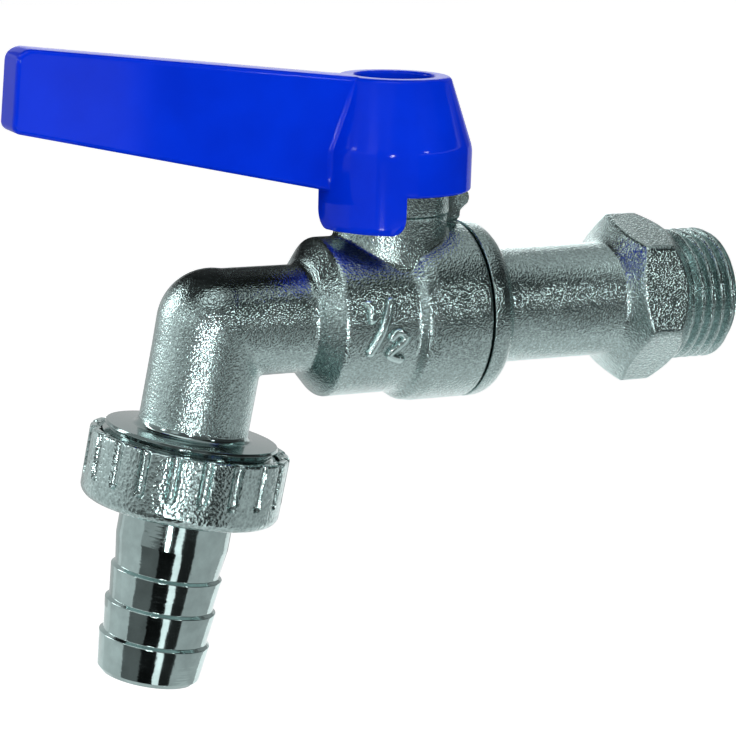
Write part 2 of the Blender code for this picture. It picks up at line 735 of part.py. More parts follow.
def build_lever():
    """Cast lever: coned hub, flat arm, and a skirt in two lengths with the stop on the neck between them."""
    lever = turned("lever", [
        (0, hub_top),
        *arc((hub_top_radius - HUB_ROUND, hub_top - HUB_ROUND), (HUB_ROUND, HUB_ROUND), math.pi / 2,
             math.radians(20), 3),
        (hub_radius - HUB_EDGE / 2, hub_shoulder + HUB_EDGE),
        (hub_radius, hub_shoulder - HUB_EDGE),
        (hub_radius, hub_base + HUB_EDGE),
        (hub_radius - HUB_EDGE, hub_base),
        (0, hub_base),
    ], parts, stem_frame)

    outline = [(-reach, height) for reach, height in lever_arm_outline()]
    upright = Matrix.Rotation(math.pi / 2, 4, "X")
    arm = plate("lever_arm_form", outline, ARM_THICKNESS, upright, cutters, stem_frame)
    bevel = arm.modifiers.new("Edges", "BEVEL")
    bevel.width = ARM_EDGE
    bevel.segments = 2
    bevel.limit_method = "ANGLE"
    bevel.angle_limit = math.radians(60)
    combine(lever, arm, "UNION")
    for name, start in zip(("skirt_rear", "skirt_front"), skirt_starts):
        combine(lever, skirt_length(name, start), "UNION")

    hollow = turned("hub_hollow_cut", [
        (0, hub_web_base),
        (hub_bore_radius - HUB_EDGE, hub_web_base),
        (hub_bore_radius, hub_web_base - HUB_EDGE),
        (hub_bore_radius, skirt_base - OVERRUN),
        (0, skirt_base - OVERRUN),
    ], cutters, stem_frame)
    recess = turned("hub_recess_cut", [
        (0, hub_top + OVERRUN),
        (RECESS_RADIUS + RECESS_EDGE + OVERRUN, hub_top + OVERRUN),
        (RECESS_RADIUS, hub_top - RECESS_EDGE),
        (RECESS_RADIUS, recess_floor),
        (0, recess_floor),
    ], cutters, stem_frame)
    square = prism("hub_square_cut", corner_radius(STEM_SQUARE + 2 * GAP, 4), hub_web_base - OVERRUN,
                   recess_floor + OVERRUN, 4, math.radians(45), cutters, stem_frame)
    for form in (hollow, recess, square):
        combine(lever, form, "DIFFERENCE")
    finish(lever, blue_enamel)


def build_fixing_nut():
    """Small hexagon nut that holds the lever down on the stem."""
    nut = prism("fixing_nut", corner_radius(FIXING_NUT_ACROSS_FLATS, 6), fixing_nut_base,
                fixing_nut_base + FIXING_NUT_HEIGHT, 6, 0, parts, stem_frame)
    bore = cylinder("fixing_nut_cut", STEM_TIP_RADIUS + GAP, fixing_nut_base - OVERRUN,
                    fixing_nut_base + FIXING_NUT_HEIGHT + OVERRUN, cutters, stem_frame, SMALL_FACETS)
    combine(nut, bore, "DIFFERENCE")
    finish(nut, zinc_steel)


def build_union_nut():
    """Loose nut round the outlet thread, with a ring of grip slots that stop short of its foot."""
    hole_radius = tail_radius + GAP
    nut = turned("union_nut", [
        (nut_radius - NUT_EDGE, -nut_top),
        (nut_radius, -(nut_top + NUT_EDGE)),
        *arc((nut_radius - NUT_BASE_ROUND, -(nut_base - NUT_BASE_ROUND)), (NUT_BASE_ROUND, NUT_BASE_ROUND),
             0, -math.pi / 2, 4),
        (hole_radius, -nut_base),
        (hole_radius, -nut_floor_top),
        (nut_bore_radius, -nut_floor_top),
        (nut_bore_radius, -nut_top),
    ], parts, outlet_frame, ring=True, facets=FACETS + SMALL_FACETS)

    form = bmesh.new()
    slot_place = nut_radius - NUT_SLOT_DEPTH + NUT_SLOT_RADIUS
    slot_centre = -(nut_top + (NUT_SLOT_LENGTH - OVERRUN) / 2)
    for i in range(NUT_SLOTS):
        turn = -(NUT_SLOT_TURN + math.tau * i / NUT_SLOTS)
        place = Matrix.Rotation(turn, 4, "Z") @ Matrix.Translation((slot_place, 0, slot_centre))
        bmesh.ops.create_cone(form, cap_ends=True, segments=10, radius1=NUT_SLOT_RADIUS,
                              radius2=NUT_SLOT_RADIUS, depth=NUT_SLOT_LENGTH + OVERRUN, matrix=place)
    slots = from_bmesh("nut_slot_cuts", form, cutters, outlet_frame)
    combine(nut, slots, "DIFFERENCE")
    finish(nut, blasted_nickel)


def build_hose_tail():
    """Turned tail: a flange held by the union nut, a plain length, and barbs for the hose."""
    flange_radius = nut_bore_radius - GAP
    barbs = []
    for i in range(BARB_COUNT):
        crest = first_barb + i * BARB_PITCH
        barbs += [(barb_root_radius, -(crest - BARB_LEAD / 2)), (barb_crest_radius, -(crest + BARB_LEAD / 2))]
    tail = turned("hose_tail", [
        (flange_radius, -tail_top),
        (flange_radius, -tail_flange_base),
        (tail_radius, -tail_flange_base),
        (tail_radius, -(tail_flange_base + TAIL_PLAIN_LENGTH)),
        *barbs,
        (barb_root_radius - GAP / 2, -(tail_end - TAIL_TIP_ROUND)),
        (barb_root_radius - GAP / 2 - TAIL_TIP_ROUND, -tail_end),
        (TAIL_BORE_RADIUS, -tail_end),
        (TAIL_BORE_RADIUS, -tail_top),
    ], parts, outlet_frame, ring=True)
    finish(tail, polished_chrome)


def build_gasket():
    """Flat ring between the outlet's end and the hose tail's flange."""
    ring = turned("hose_gasket", [
        (OUTLET_THREAD_RADIUS - GAP, -gasket_top),
        (OUTLET_THREAD_RADIUS - GAP, -gasket_base),
        (outlet_mouth_radius + GAP, -gasket_base),
        (outlet_mouth_radius + GAP, -gasket_top),
    ], parts, outlet_frame, ring=True)
    finish(ring, black_rubber)


clear_scene()
parts = new_collection("hose_tap")
cutters = new_collection("hose_tap_cutters")
stem_frame = new_frame("stem_axis", stem_place, (0, 0, 0))
pipe_frame = new_frame("pipe_axis", stem_place, along_pipe)
outlet_frame = new_frame("outlet_axis", elbow_place, along_outlet)

blasted_nickel = new_material("blasted_nickel", (0.46, 0.48, 0.47), 0.42, 1.0)
polished_chrome = new_material("polished_chrome", (0.62, 0.64, 0.64), 0.12, 1.0)
bright_chrome = new_material("bright_chrome", (0.75, 0.76, 0.77), 0.08, 1.0)
turned_brass = new_material("turned_brass", (0.78, 0.60, 0.30), 0.30, 1.0)
zinc_steel = new_material("zinc_steel", (0.62, 0.62, 0.60), 0.35, 1.0)
blue_enamel = new_material("blue_enamel", (0.0, 0.02, 0.62), 0.18, 0.0)
white_ptfe = new_material("white_ptfe", (0.85, 0.85, 0.83), 0.5, 0.0)
black_rubber = new_material("black_rubber", (0.02, 0.02, 0.02), 0.7, 0.0)

build_valve_body()
build_inlet_adapter()
build_adapter_seal()
build_ball()
build_seat_ring("seat_ring_inlet", 1)
build_seat_ring("seat_ring_outlet", -1)
build_stem()
build_ring("thrust_washer", stem_bore_radius, stem_collar_radius, thrust_washer_base,
           thrust_washer_base + THRUST_WASHER_THICKNESS, white_ptfe)
build_stem_o_ring("stem_o_ring_lower", o_ring_heights[0])
build_stem_o_ring("stem_o_ring_upper", o_ring_heights[1])
build_ring("packing_ring", stem_bore_radius, packing_radius, packing_base,
           packing_base + PACKING_HEIGHT, white_ptfe)
build_gland_nut()
build_lever()
build_ring("fixing_washer", STEM_TIP_RADIUS + GAP, washer_radius, fixing_washer_base,
           fixing_washer_base + WASHER_THICKNESS, zinc_steel)
build_fixing_nut()
build_union_nut()
build_hose_tail()
build_gasket()
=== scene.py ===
import math

import bmesh
import bpy
import numpy as np
from mathutils import Matrix, Vector


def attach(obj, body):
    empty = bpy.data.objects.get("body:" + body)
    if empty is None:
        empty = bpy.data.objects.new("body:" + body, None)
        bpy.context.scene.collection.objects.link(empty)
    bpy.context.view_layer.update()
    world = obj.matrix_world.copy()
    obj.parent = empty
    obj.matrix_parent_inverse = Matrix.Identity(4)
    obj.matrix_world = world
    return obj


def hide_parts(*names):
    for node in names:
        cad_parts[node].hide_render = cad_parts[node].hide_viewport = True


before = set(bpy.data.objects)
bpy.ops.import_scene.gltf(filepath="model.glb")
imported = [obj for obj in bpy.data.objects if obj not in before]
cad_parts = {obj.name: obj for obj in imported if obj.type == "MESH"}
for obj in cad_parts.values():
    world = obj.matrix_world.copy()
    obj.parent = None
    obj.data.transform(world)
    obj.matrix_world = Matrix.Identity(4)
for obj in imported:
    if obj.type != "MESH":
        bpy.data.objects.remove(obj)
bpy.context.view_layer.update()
print("frame loaded:", len(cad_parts), "nodes")

mm = 0.001
fullTurn = 2 * math.pi
onAxis = 0.05  # how near its line a turned form ends, in mm

# The three lines the tap is turned about, in mm: a start, the line's own way, and two ways square to it
stemX = -57.2
elbowX = stemX - 28.63
lean = math.radians(10.4)
stemLine = dict(start=(stemX, 0, 0), along=(0, 0, 1), across=(1, 0, 0), beside=(0, 1, 0))
pipeLine = dict(start=(stemX, 0, 0), along=(1, 0, 0), across=(0, -1, 0), beside=(0, 0, -1))
outletLine = dict(
    start=(elbowX, 0, 0),
    along=(-math.sin(lean), 0, -math.cos(lean)),
    across=(-math.cos(lean), 0, math.sin(lean)),
    beside=(0, 1, 0),
)


def aboutLine(line, steps, radii, angles):
    # point = start + along * step + radius * (across * cos(angle) + beside * sin(angle)), mm to metres
    steps, radii, angles = np.broadcast_arrays(steps, radii, angles)
    start, along, across, beside = (
        np.array(line[key], float) for key in ("start", "along", "across", "beside"))
    spokes = np.cos(angles)[..., None] * across + np.sin(angles)[..., None] * beside
    return (start + steps[..., None] * along + radii[..., None] * spokes) * mm


def softPath(corners, joined=False, arcSteps=6):
    # a line through (step, radius) corners; each corner with a rounding gives way to an arc that starts and
    # ends rounding / tan(half the corner) away from it, centred on the corner's bisector
    points = []
    for i, (step, radius, rounding) in enumerate(corners):
        here = np.array((step, radius), float)
        if rounding == 0 or (not joined and i in (0, len(corners) - 1)):
            points.append(here)
            continue
        before = np.array(corners[i - 1][:2], float) - here
        after = np.array(corners[(i + 1) % len(corners)][:2], float) - here
        before /= np.linalg.norm(before)
        after /= np.linalg.norm(after)
        half = math.acos(float(np.clip(before @ after, -1, 1))) / 2
        reach = rounding / math.tan(half)
        middle = here + (before + after) / np.linalg.norm(before + after) * rounding / math.sin(half)
        spokes = np.linspace(here + before * reach - middle, here + after * reach - middle, arcSteps + 1)
        spokes *= rounding / np.linalg.norm(spokes, axis=1, keepdims=True)
        points += list(middle + spokes)
    return np.array(points)


def splitPath(path, longest, joined=False):
    # extra points on the straight runs, so that no run of the path is longer than this
    ends = np.roll(path, -1, axis=0) if joined else path[1:]
    runs = []
    for start, end in zip(path, ends):
        count = max(1, math.ceil(np.linalg.norm(end - start) / longest))
        runs.append(start + (end - start) * (np.arange(count) / count)[:, None])
    if not joined:
        runs.append(path[-1:])
    return np.concatenate(runs)


def place(name, data):
    thing = bpy.data.objects.new(name, data)
    bpy.context.scene.collection.objects.link(thing)
    return thing


def gridPiece(name, grid, joined=True):
    # quads between neighbouring rows and columns; columns close on themselves, rows close too or end flat
    rows, columns = grid.shape[:2]
    index = np.arange(rows * columns).reshape(rows, columns)
    upper, lower = (index, np.roll(index, -1, axis=0)) if joined else (index[:-1], index[1:])
    quads = np.stack([upper, np.roll(upper, -1, axis=1), np.roll(lower, -1, axis=1), lower], axis=-1)
    faces = quads.reshape(-1, 4).tolist()
    if not joined:
        faces += [index[0][::-1].tolist(), index[-1].tolist()]
    mesh = bpy.data.meshes.new(name)
    mesh.from_pydata(grid.reshape(-1, 3).tolist(), [], faces)
    solid = bmesh.new()
    solid.from_mesh(mesh)
    if solid.calc_volume(signed=True) < 0:
        bmesh.ops.reverse_faces(solid, faces=solid.faces[:])
    solid.to_mesh(mesh)
    solid.free()
    return place(name, mesh)


def turnedPiece(name, line, path, columns, joined=True):
    # the path of (step, radius) points swept round the line
    angles = np.arange(columns) / columns * fullTurn
    return gridPiece(name, aboutLine(line, path[:, :1], path[:, 1:], angles[None, :]), joined)


def settle(piece):
    # what the modifiers make becomes the piece's own mesh
    mesh = bpy.data.meshes.new_from_object(piece.evaluated_get(bpy.context.evaluated_depsgraph_get()))
    piece.modifiers.clear()
    old = piece.data
    piece.data = mesh
    bpy.data.meshes.remove(old)


def addModifier(piece, kind, **settings):
    modifier = piece.modifiers.new(kind.title(), kind)
    for key, value in settings.items():
        setattr(modifier, key, value)


def carve(piece, tools, operation):
    # joins or cuts with each tool in turn, and clears the tools away
    for tool in tools:
        addModifier(piece, "BOOLEAN", operation=operation, object=tool, solver="MANIFOLD")
    settle(piece)
    for tool in tools:
        bpy.data.objects.remove(tool)


def smoothMin(one, two, blend):
    # the lower of two heights, eased over the blend where they cross
    share = np.clip(0.5 + 0.5 * (two - one) / blend, 0, 1)
    return two + (one - two) * share - blend * share * (1 - share)


def smoothStep(value, low, high):
    # 0 below low and 1 above high, with share^2 * (3 - 2 * share) between them
    share = np.clip((value - low) / (high - low), 0, 1)
    return share * share * (3 - 2 * share)


def polygonRadius(angles, acrossFlats, sides, turn):
    # half the width over flats, divided by the cosine of the angle to the nearest flat's middle
    sweep = fullTurn / sides
    off = np.mod(angles - turn + sweep / 2, sweep) - sweep / 2
    return acrossFlats / 2 / np.cos(off)


def threadRadius(steps, angles, thread):
    # crest - depth * eased triangle wave of (step / pitch - turn), which makes a right-hand helix
    phase = (steps - thread["crestStep"]) / thread["pitch"] - angles / fullTurn
    away = 1 - np.abs(2 * (phase - np.floor(phase)) - 1)
    return thread["radius"] - thread["depth"] * smoothStep(away, thread["flat"], 1 - thread["flat"])


def dress(piece, body, slotName, nodes, sharpAngle=34, finish=None):
    # smooth shading with real corners kept, then the piece's body, slot and the solids it stands for
    piece.data.shade_smooth()
    piece.data.set_sharp_from_angle(angle=math.radians(sharpAngle))
    piece.data.materials.clear()
    piece.data.materials.append(finishes[finish or slotName])
    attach(piece, body)
    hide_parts(*nodes)
    print("made", piece.name, len(piece.data.polygons), "faces")


# Finishes

class Wire:
    # a socket that can be added, subtracted and multiplied, each with a Math node
    def __init__(self, recipe, socket):
        self.recipe = recipe
        self.socket = socket

    def maths(self, operation, first, second):
        return self.recipe.node("Math", dict(operation=operation), {0: first, 1: second})

    def __add__(self, other):
        return self.maths("ADD", self, other)

    def __radd__(self, other):
        return self.maths("ADD", other, self)

    def __sub__(self, other):
        return self.maths("SUBTRACT", self, other)

    def __rsub__(self, other):
        return self.maths("SUBTRACT", other, self)

    def __mul__(self, other):
        return self.maths("MULTIPLY", self, other)

    def __rmul__(self, other):
        return self.maths("MULTIPLY", other, self)


class Recipe:
    # the nodes of one material, or of the world where one is given; node() adds whatever the shader needs
    def __init__(self, name, world=None, **constants):
        self.material = world or bpy.data.materials.new(name)
        self.material.use_nodes = True
        self.tree = self.material.node_tree
        self.shader = self.tree.nodes["Background" if world else "Principled BSDF"]
        for key, value in constants.items():
            self.shader.inputs[key.replace("_", " ")].default_value = value

    def node(self, kind, settings=None, sockets=None, output=0):
        made = self.tree.nodes.new("ShaderNode" + kind)
        for key, value in (settings or {}).items():
            setattr(made, key, value)
        for key, value in (sockets or {}).items():
            if isinstance(value, Wire):
                self.tree.links.new(value.socket, made.inputs[key])
            else:
                made.inputs[key].default_value = value
        return Wire(self, made.outputs[output])

    def feed(self, **wires):
        for key, wire in wires.items():
            self.tree.links.new(wire.socket, self.shader.inputs[key.replace("_", " ")])

    def spot(self):
        # where the surface is, on the piece's own axes
        return self.node("TexCoord", output="Object")

    def axis(self, letter):
        return self.node("SeparateXYZ", None, {"Vector": self.spot()}, letter)

    def noise(self, size, detail=2.0, roughness=0.5):
        # cloudy values of about this size in mm
        sockets = {"Vector": self.spot(), "Scale": 1 / (size * mm), "Detail": detail, "Roughness": roughness}
        return self.node("TexNoise", None, sockets)

    def cells(self, size):
        # the way to the nearest of crowded points, which lie about this many mm apart
        return self.node("TexVoronoi", None, {"Vector": self.spot(), "Scale": 1 / (size * mm)}, "Distance")

    def levels(self, value, low, high, bottom=0.0, top=1.0):
        # value's stretch from low to high, spread from bottom to top
        sockets = {"Value": value, "From Min": low, "From Max": high, "To Min": bottom, "To Max": top}
        return self.node("MapRange", dict(clamp=True), sockets)

    def blend(self, share, first, second):
        return self.node("Mix", dict(data_type="RGBA"), {"Factor": share, "A": first, "B": second}, 2)

    def relief(self, height, depth):
        # bump, with its depth in mm
        return self.node("Bump", None, {"Height": height, "Distance": depth * mm})


def grey(level, tint=(1.0, 1.0, 1.0)):
    return (level * tint[0], level * tint[1], level * tint[2], 1.0)


def downOutlet(recipe):
    # the way down the outlet line
    start = (elbowX * mm, 0, 0)
    centred = recipe.node("VectorMath", dict(operation="SUBTRACT"), {0: recipe.spot(), 1: start})
    dotted = {0: centred, 1: outletLine["along"]}
    return recipe.node("VectorMath", dict(operation="DOT_PRODUCT"), dotted, "Value")


def fromPipe(recipe):
    # the way out from the pipe line
    across = recipe.node("VectorMath", dict(operation="MULTIPLY"), {0: recipe.spot(), 1: (0, 1, 1)})
    return recipe.node("VectorMath", dict(operation="LENGTH"), {0: across}, "Value")


nickelTint = (0.77, 1.0, 0.985)
# tones are brightness and places are mm; the stroke ones bound the raised strokes, which wear and a painted
# highlight make paler, and the turned ones the collar
nickel = dict(
    dark=0.38, pale=0.70, cloud=5.0,
    wornAndHighlightTone=0.85, strokeRadii=(12.25, 12.45), strokeTop=(8.5, 8.0), strokeLeft=(-12.2, -12.0),
    strokeRight=(-1.0, -1.2), turnedTone=0.42, turnedRough=0.12, turnedSteps=(15.25, 15.45),
)


def blastedNickel(name, grainSize, cast=False, depth=0.12, rough=0.18):
    # crowded pits and soft noise give both the shade and the relief
    n = nickel
    recipe = Recipe(name, Metallic=1.0)
    grain = recipe.cells(grainSize)
    pits = recipe.noise(grainSize * 1.6, 2.0, 0.6)
    cloud = recipe.noise(n["cloud"], 3.0)
    shade = recipe.levels(grain * 0.3 + pits * 0.5 + cloud * 0.2, 0.30, 0.64)
    colour = recipe.blend(shade, grey(n["dark"], nickelTint), grey(n["pale"], nickelTint))
    roughness = recipe.levels(pits, 0.3, 0.7, rough * 0.8, rough * 1.3)
    height = grain * 0.4 + pits * 0.6
    if cast:
        def between(value, ends, start=0):
            return recipe.levels(value, (start + ends[0]) * mm, (start + ends[1]) * mm)

        # the raised strokes are worn smoother and paler, the paleness partly a painted highlight, and the
        # collar and outlet thread were turned after casting
        x = recipe.axis("X")
        raised = between(fromPipe(recipe), n["strokeRadii"]) * between(recipe.axis("Z"), n["strokeTop"])
        raised = raised * between(x, n["strokeRight"], stemX) * between(x, n["strokeLeft"], stemX)
        # painted highlight: the raised strokes take a paler tone, which also stands for their wear
        colour = recipe.blend(raised, colour, grey(n["wornAndHighlightTone"], nickelTint))
        turned = between(downOutlet(recipe), n["turnedSteps"])
        colour = recipe.blend(turned, colour, grey(n["turnedTone"], nickelTint))
        roughness = roughness + turned * (n["turnedRough"] - roughness)
        height = height * (1 - turned * 0.9) * (1 - raised * 0.6)
    recipe.feed(Base_Color=colour, Roughness=roughness, Normal=recipe.relief(height, depth))
    return recipe.material


def polishedChrome():
    # fine rings left by the lathe break up the reflections' edges
    recipe = Recipe("polished_chrome", Metallic=1.0)
    smear = recipe.noise(3.5, 3.0)
    rings = {"W": downOutlet(recipe), "Scale": 1 / (0.45 * mm), "Detail": 2.0}
    rings = recipe.node("TexNoise", dict(noise_dimensions="1D"), rings)
    patch = recipe.levels(recipe.noise(2.5, 2.0), 0.40, 0.62)
    colour = recipe.blend(recipe.levels(smear, 0.35, 0.65), grey(0.52, nickelTint), grey(0.66, nickelTint))
    recipe.feed(Base_Color=colour, Roughness=recipe.levels(smear, 0.3, 0.7, 0.06, 0.12),
                Normal=recipe.relief(rings * patch, 0.02))
    return recipe.material


def plainMetal(name, level, tint, rough):
    # an even metal, a little cloudy in its shade and its shine
    recipe = Recipe(name, Metallic=1.0)
    grain = recipe.noise(0.5, 3.0)
    colour = recipe.blend(recipe.levels(grain, 0.3, 0.7), grey(level * 0.85, tint), grey(level, tint))
    recipe.feed(Base_Color=colour, Roughness=recipe.levels(grain, 0.3, 0.7, rough * 0.8, rough * 1.2),
                Normal=recipe.relief(grain, 0.004))
    return recipe.material


def blueEnamel():
    # a dull blue under a thin gloss, cloudy and a little uneven like orange peel
    recipe = Recipe("blue_enamel", Coat_Weight=0.34, Coat_Roughness=0.09, Specular_IOR_Level=0.0)
    cloud = recipe.noise(9.0, 3.0)
    peel = recipe.noise(1.1, 1.0)
    colour = recipe.blend(recipe.levels(cloud, 0.3, 0.7), (0.0, 0.021, 0.51, 1.0), (0.0, 0.027, 0.60, 1.0))
    recipe.feed(Base_Color=colour, Roughness=recipe.levels(cloud, 0.3, 0.7, 0.40, 0.50),
                Normal=recipe.relief(peel, 0.004))
    return recipe.material


def softRing(name, level, rough):
    # a grey or black seal, without metal's shine
    recipe = Recipe(name)
    grain = recipe.noise(0.6, 3.0)
    colour = recipe.blend(recipe.levels(grain, 0.3, 0.7), grey(level * 0.85), grey(level))
    recipe.feed(Base_Color=colour, Roughness=recipe.levels(grain, 0.3, 0.7, rough * 0.9, rough * 1.1),
                Normal=recipe.relief(grain, 0.01))
    return recipe.material


finishes = {
    "blasted_nickel": blastedNickel("blasted_nickel", 0.30),
    "cast_nickel": blastedNickel("cast_nickel", 0.30, cast=True),
    "nut_nickel": blastedNickel("nut_nickel", 0.50, depth=0.14, rough=0.17),
    "polished_chrome": polishedChrome(),
    "bright_chrome": plainMetal("bright_chrome", 0.76, (0.98, 1.0, 1.0), 0.08),
    "turned_brass": plainMetal("turned_brass", 0.80, (1.0, 0.76, 0.38), 0.28),
    "zinc_steel": plainMetal("zinc_steel", 0.62, (1.0, 1.0, 0.97), 0.34),
    "blue_enamel": blueEnamel(),
    "white_ptfe": softRing("white_ptfe", 0.85, 0.5),
    "black_rubber": softRing("black_rubber", 0.022, 0.7),
}
print("finishes mixed:", len(finishes))


# The valve body: a casting, with its machined outlet end and bores. In these tables a plain name is a radius,
# and a name with Start, End, Top, Foot or Floor in it is a place along the line

casting = dict(
    housing=13.70, housingEnd=11.25, stepTop=2.6, stepFoot=0.85, step=13.4, barrelStart=-0.3, barrel=12.07,
    barrelEnd=-12.0, cone=9.4, coneEnd=-14.2, spout=8.15, spoutFoot=-15.0, elbow=8.32, outlet=8.25,
    outletEnd=17.5, neckRoot=9.6, neckFoot=12.5, neck=8.6, rimFoot=15.8, rim=8.85, neckTop=21.0,
    voxel=0.30, smoothing=3,
)


def castForm():
    # turned surfaces along the three lines, fused by a voxel remesh and eased like a cast skin
    c = casting
    barrel = softPath([
        (c["housingEnd"], onAxis, 0), (c["housingEnd"], c["housing"], 0.15),
        (c["stepTop"], c["housing"], 0.2), (c["stepFoot"], c["step"], 0.2),
        (c["barrelStart"], c["barrel"], 0.15), (c["barrelEnd"], c["barrel"], 0.9),
        (c["coneEnd"], c["cone"], 0.3), (c["spoutFoot"], c["spout"], 0.8),
        (elbowX - stemX, c["spout"], 0), (elbowX - stemX, onAxis, 0),
    ])
    turns = np.linspace(0, math.pi / 2, 20)
    elbow = np.stack([-c["elbow"] * np.cos(turns), c["elbow"] * np.sin(turns)], axis=1)
    outlet = np.concatenate([elbow, [(4.0, c["outlet"]), (c["outletEnd"], c["outlet"])]])
    outlet[0, 1] = onAxis
    neck = softPath([
        (0, c["neckRoot"], 0), (c["neckFoot"], c["neck"], 0), (c["rimFoot"], c["neck"], 0.1),
        (c["rimFoot"], c["rim"], 0.1), (c["neckTop"], c["rim"], 0.3), (c["neckTop"], onAxis, 0),
    ])
    forms = [
        turnedPiece("cast_barrel", pipeLine, splitPath(barrel, 1.0), 160, joined=False),
        turnedPiece("cast_outlet", outletLine, splitPath(outlet, 1.0), 128, joined=False),
        turnedPiece("cast_neck", stemLine, splitPath(neck, 1.0), 128, joined=False),
        stopForm(),
    ]
    casts = bmesh.new()
    for form in forms:
        casts.from_mesh(form.data)
        bpy.data.objects.remove(form)
    mesh = bpy.data.meshes.new("valve_casting")
    casts.to_mesh(mesh)
    casts.free()
    piece = place("valve_casting", mesh)
    voxel = c["voxel"] * mm
    addModifier(piece, "REMESH", mode="VOXEL", voxel_size=voxel, adaptivity=0, use_smooth_shade=True)
    addModifier(piece, "SMOOTH", factor=0.5, iterations=c["smoothing"])
    settle(piece)
    return piece


stop = dict(root=7.5, top=18.7, reach=12.4, slopeTop=17.0, slopeFoot=15.6, footReach=11.0, foot=14.2,
            halfAngle=11.8, rootSpread=11.0, spreadStart=9.6, spreadWidth=1.1)


def stopForm():
    # the stop on the neck: a side view of (height, radius) points carried through a small angle, which
    # spreads towards its root, inside the skirt's bore, like a fillet
    s = stop
    side = softPath([
        (s["top"], s["root"], 0), (s["top"], s["reach"], 0.9), (s["slopeTop"], s["reach"], 0.8),
        (s["slopeFoot"], s["footReach"], 0.5), (s["foot"], s["footReach"], 0.6), (s["foot"], s["root"], 0),
    ])
    side = splitPath(side, 0.3)
    inward = np.clip((s["spreadStart"] - side[:, 1]) / s["spreadWidth"], 0, 1)
    spread = s["halfAngle"] + s["rootSpread"] * inward ** 2
    angles = np.linspace(-1, 1, 14)[:, None] * np.radians(spread)[None, :]
    return gridPiece("cast_stop", aboutLine(stemLine, side[None, :, 0], side[None, :, 1], angles), False)


groove = dict(height=15.80, radius=8.75, halfHeight=0.18, halfDepth=0.45, gap=27)


def neckLine():
    # the fine groove round the neck, open where the stop stands: a lozenge section carried through the angle
    g = groove
    ways = np.array([(-1, 0), (0, -1), (1, 0), (0, 1)])
    section = np.array((g["height"], g["radius"])) + ways * (g["halfHeight"], g["halfDepth"])
    angles = np.radians(np.linspace(g["gap"], 360 - g["gap"], 120))
    grid = aboutLine(stemLine, section[None, :, 0], section[None, :, 1], angles[:, None])
    return gridPiece("neck_line", grid, False)


waterway = dict(
    end=12.75, spigot=11.3, spigotFloor=5.508, chamber=9.9, chamberEnd=-5.808, pocket=8.9,
    pocketFloor=-9.225, spout=6.0, elbow=6.2, outletStart=3.1, coneStart=14.8, coneEnd=17.4, mouth=8.6,
    mouthEnd=23.9,
)
stemHole = dict(end=22.5, packing=6.9, packingFloor=17.6, shank=4.8, collarTop=13.0, collar=5.7)


def boreTools():
    # the chamber and its spigot bore, the elbow's way with the outlet mouth, and the stem's stepped hole
    w, h = waterway, stemHole
    chamber = np.array([
        (w["end"], onAxis), (w["end"], w["spigot"]), (w["spigotFloor"], w["spigot"]),
        (w["spigotFloor"], w["chamber"]), (w["chamberEnd"], w["chamber"]), (w["chamberEnd"], w["pocket"]),
        (w["pocketFloor"], w["pocket"]), (w["pocketFloor"], w["spout"]), (elbowX - stemX, w["spout"]),
        (elbowX - stemX, onAxis),
    ])
    turns = np.linspace(0, math.pi / 2, 12)
    elbow = np.stack([-w["elbow"] * np.cos(turns), w["elbow"] * np.sin(turns)], axis=1)
    elbow[0, 1] = onAxis
    mouth = np.concatenate([elbow, [
        (w["outletStart"], w["spout"]), (w["coneStart"], w["spout"]), (w["coneEnd"], w["mouth"]),
        (w["mouthEnd"], w["mouth"]), (w["mouthEnd"], onAxis),
    ]])
    stem = np.array([
        (h["end"], onAxis), (h["end"], h["packing"]), (h["packingFloor"], h["packing"]),
        (h["packingFloor"], h["shank"]), (h["collarTop"], h["shank"]), (h["collarTop"], h["collar"]),
        (0, h["collar"]), (0, onAxis),
    ])
    return [
        turnedPiece("bore_chamber", pipeLine, chamber, 96, joined=False),
        turnedPiece("bore_outlet", outletLine, mouth, 96, joined=False),
        turnedPiece("bore_stem", stemLine, stem, 96, joined=False),
    ]


outletThread = dict(radius=13.22, depth=1.16, pitch=1.8143, crestStep=17.9, flat=0.12)
outletTurning = dict(
    inside=7.4, sleeveStart=15.15, sleeve=8.2, sleeveFoot=15.3, flare=8.45, flareStart=16.35,
    collarStart=16.5, collar=12.85, collarEnd=17.0, collarFoot=13.1, undercutStart=17.05, undercut=12.0,
    undercutEnd=17.85, threadStart=17.9, fadeStart=17.2, fadeEnd=18.2, leadStart=21.7, leadDrop=0.9,
    end=22.4, mouth=12.3, outside=10.0, columns=240,
)


def outletEnd():
    # collar and outlet thread: radius = thread helix, held under the collar's and the mouth's own slopes
    o, thread = outletTurning, outletThread
    path = softPath([
        (o["sleeveStart"], o["inside"], 0), (o["sleeveStart"], o["sleeve"], 0),
        (o["sleeveFoot"], o["sleeve"] + 0.1, 0), (o["flareStart"], o["flare"], 0.9),
        (o["collarStart"], o["collar"], 0.12), (o["collarEnd"], o["collarFoot"], 0.1),
        (o["undercutStart"], o["undercut"], 0.1), (o["undercutEnd"], o["undercut"], 0.1),
        (o["threadStart"], thread["radius"], 0),
    ])
    threadSteps = np.arange(o["threadStart"] + 0.05, o["end"], 0.12)
    crests = np.stack([threadSteps, np.full_like(threadSteps, thread["radius"])], axis=1)
    path = np.concatenate([path, crests, [(o["end"], o["mouth"]), (o["end"], o["inside"])]])
    angles = np.arange(o["columns"]) / o["columns"] * fullTurn
    steps, radii = path[:, :1], np.repeat(path[:, 1:], o["columns"], axis=1)
    cut = threadRadius(steps, angles[None, :], thread)
    lead = thread["radius"] - o["leadDrop"] * smoothStep(steps, o["leadStart"], o["end"])
    fade = thread["radius"] - (thread["radius"] - cut) * smoothStep(steps, o["fadeStart"], o["fadeEnd"])
    outside = (steps > o["fadeStart"]) & (radii > o["outside"])
    radii = np.where(outside, np.minimum(np.minimum(fade, lead), radii), radii)
    return gridPiece("outlet_end", aboutLine(outletLine, steps, radii, angles[None, :]))


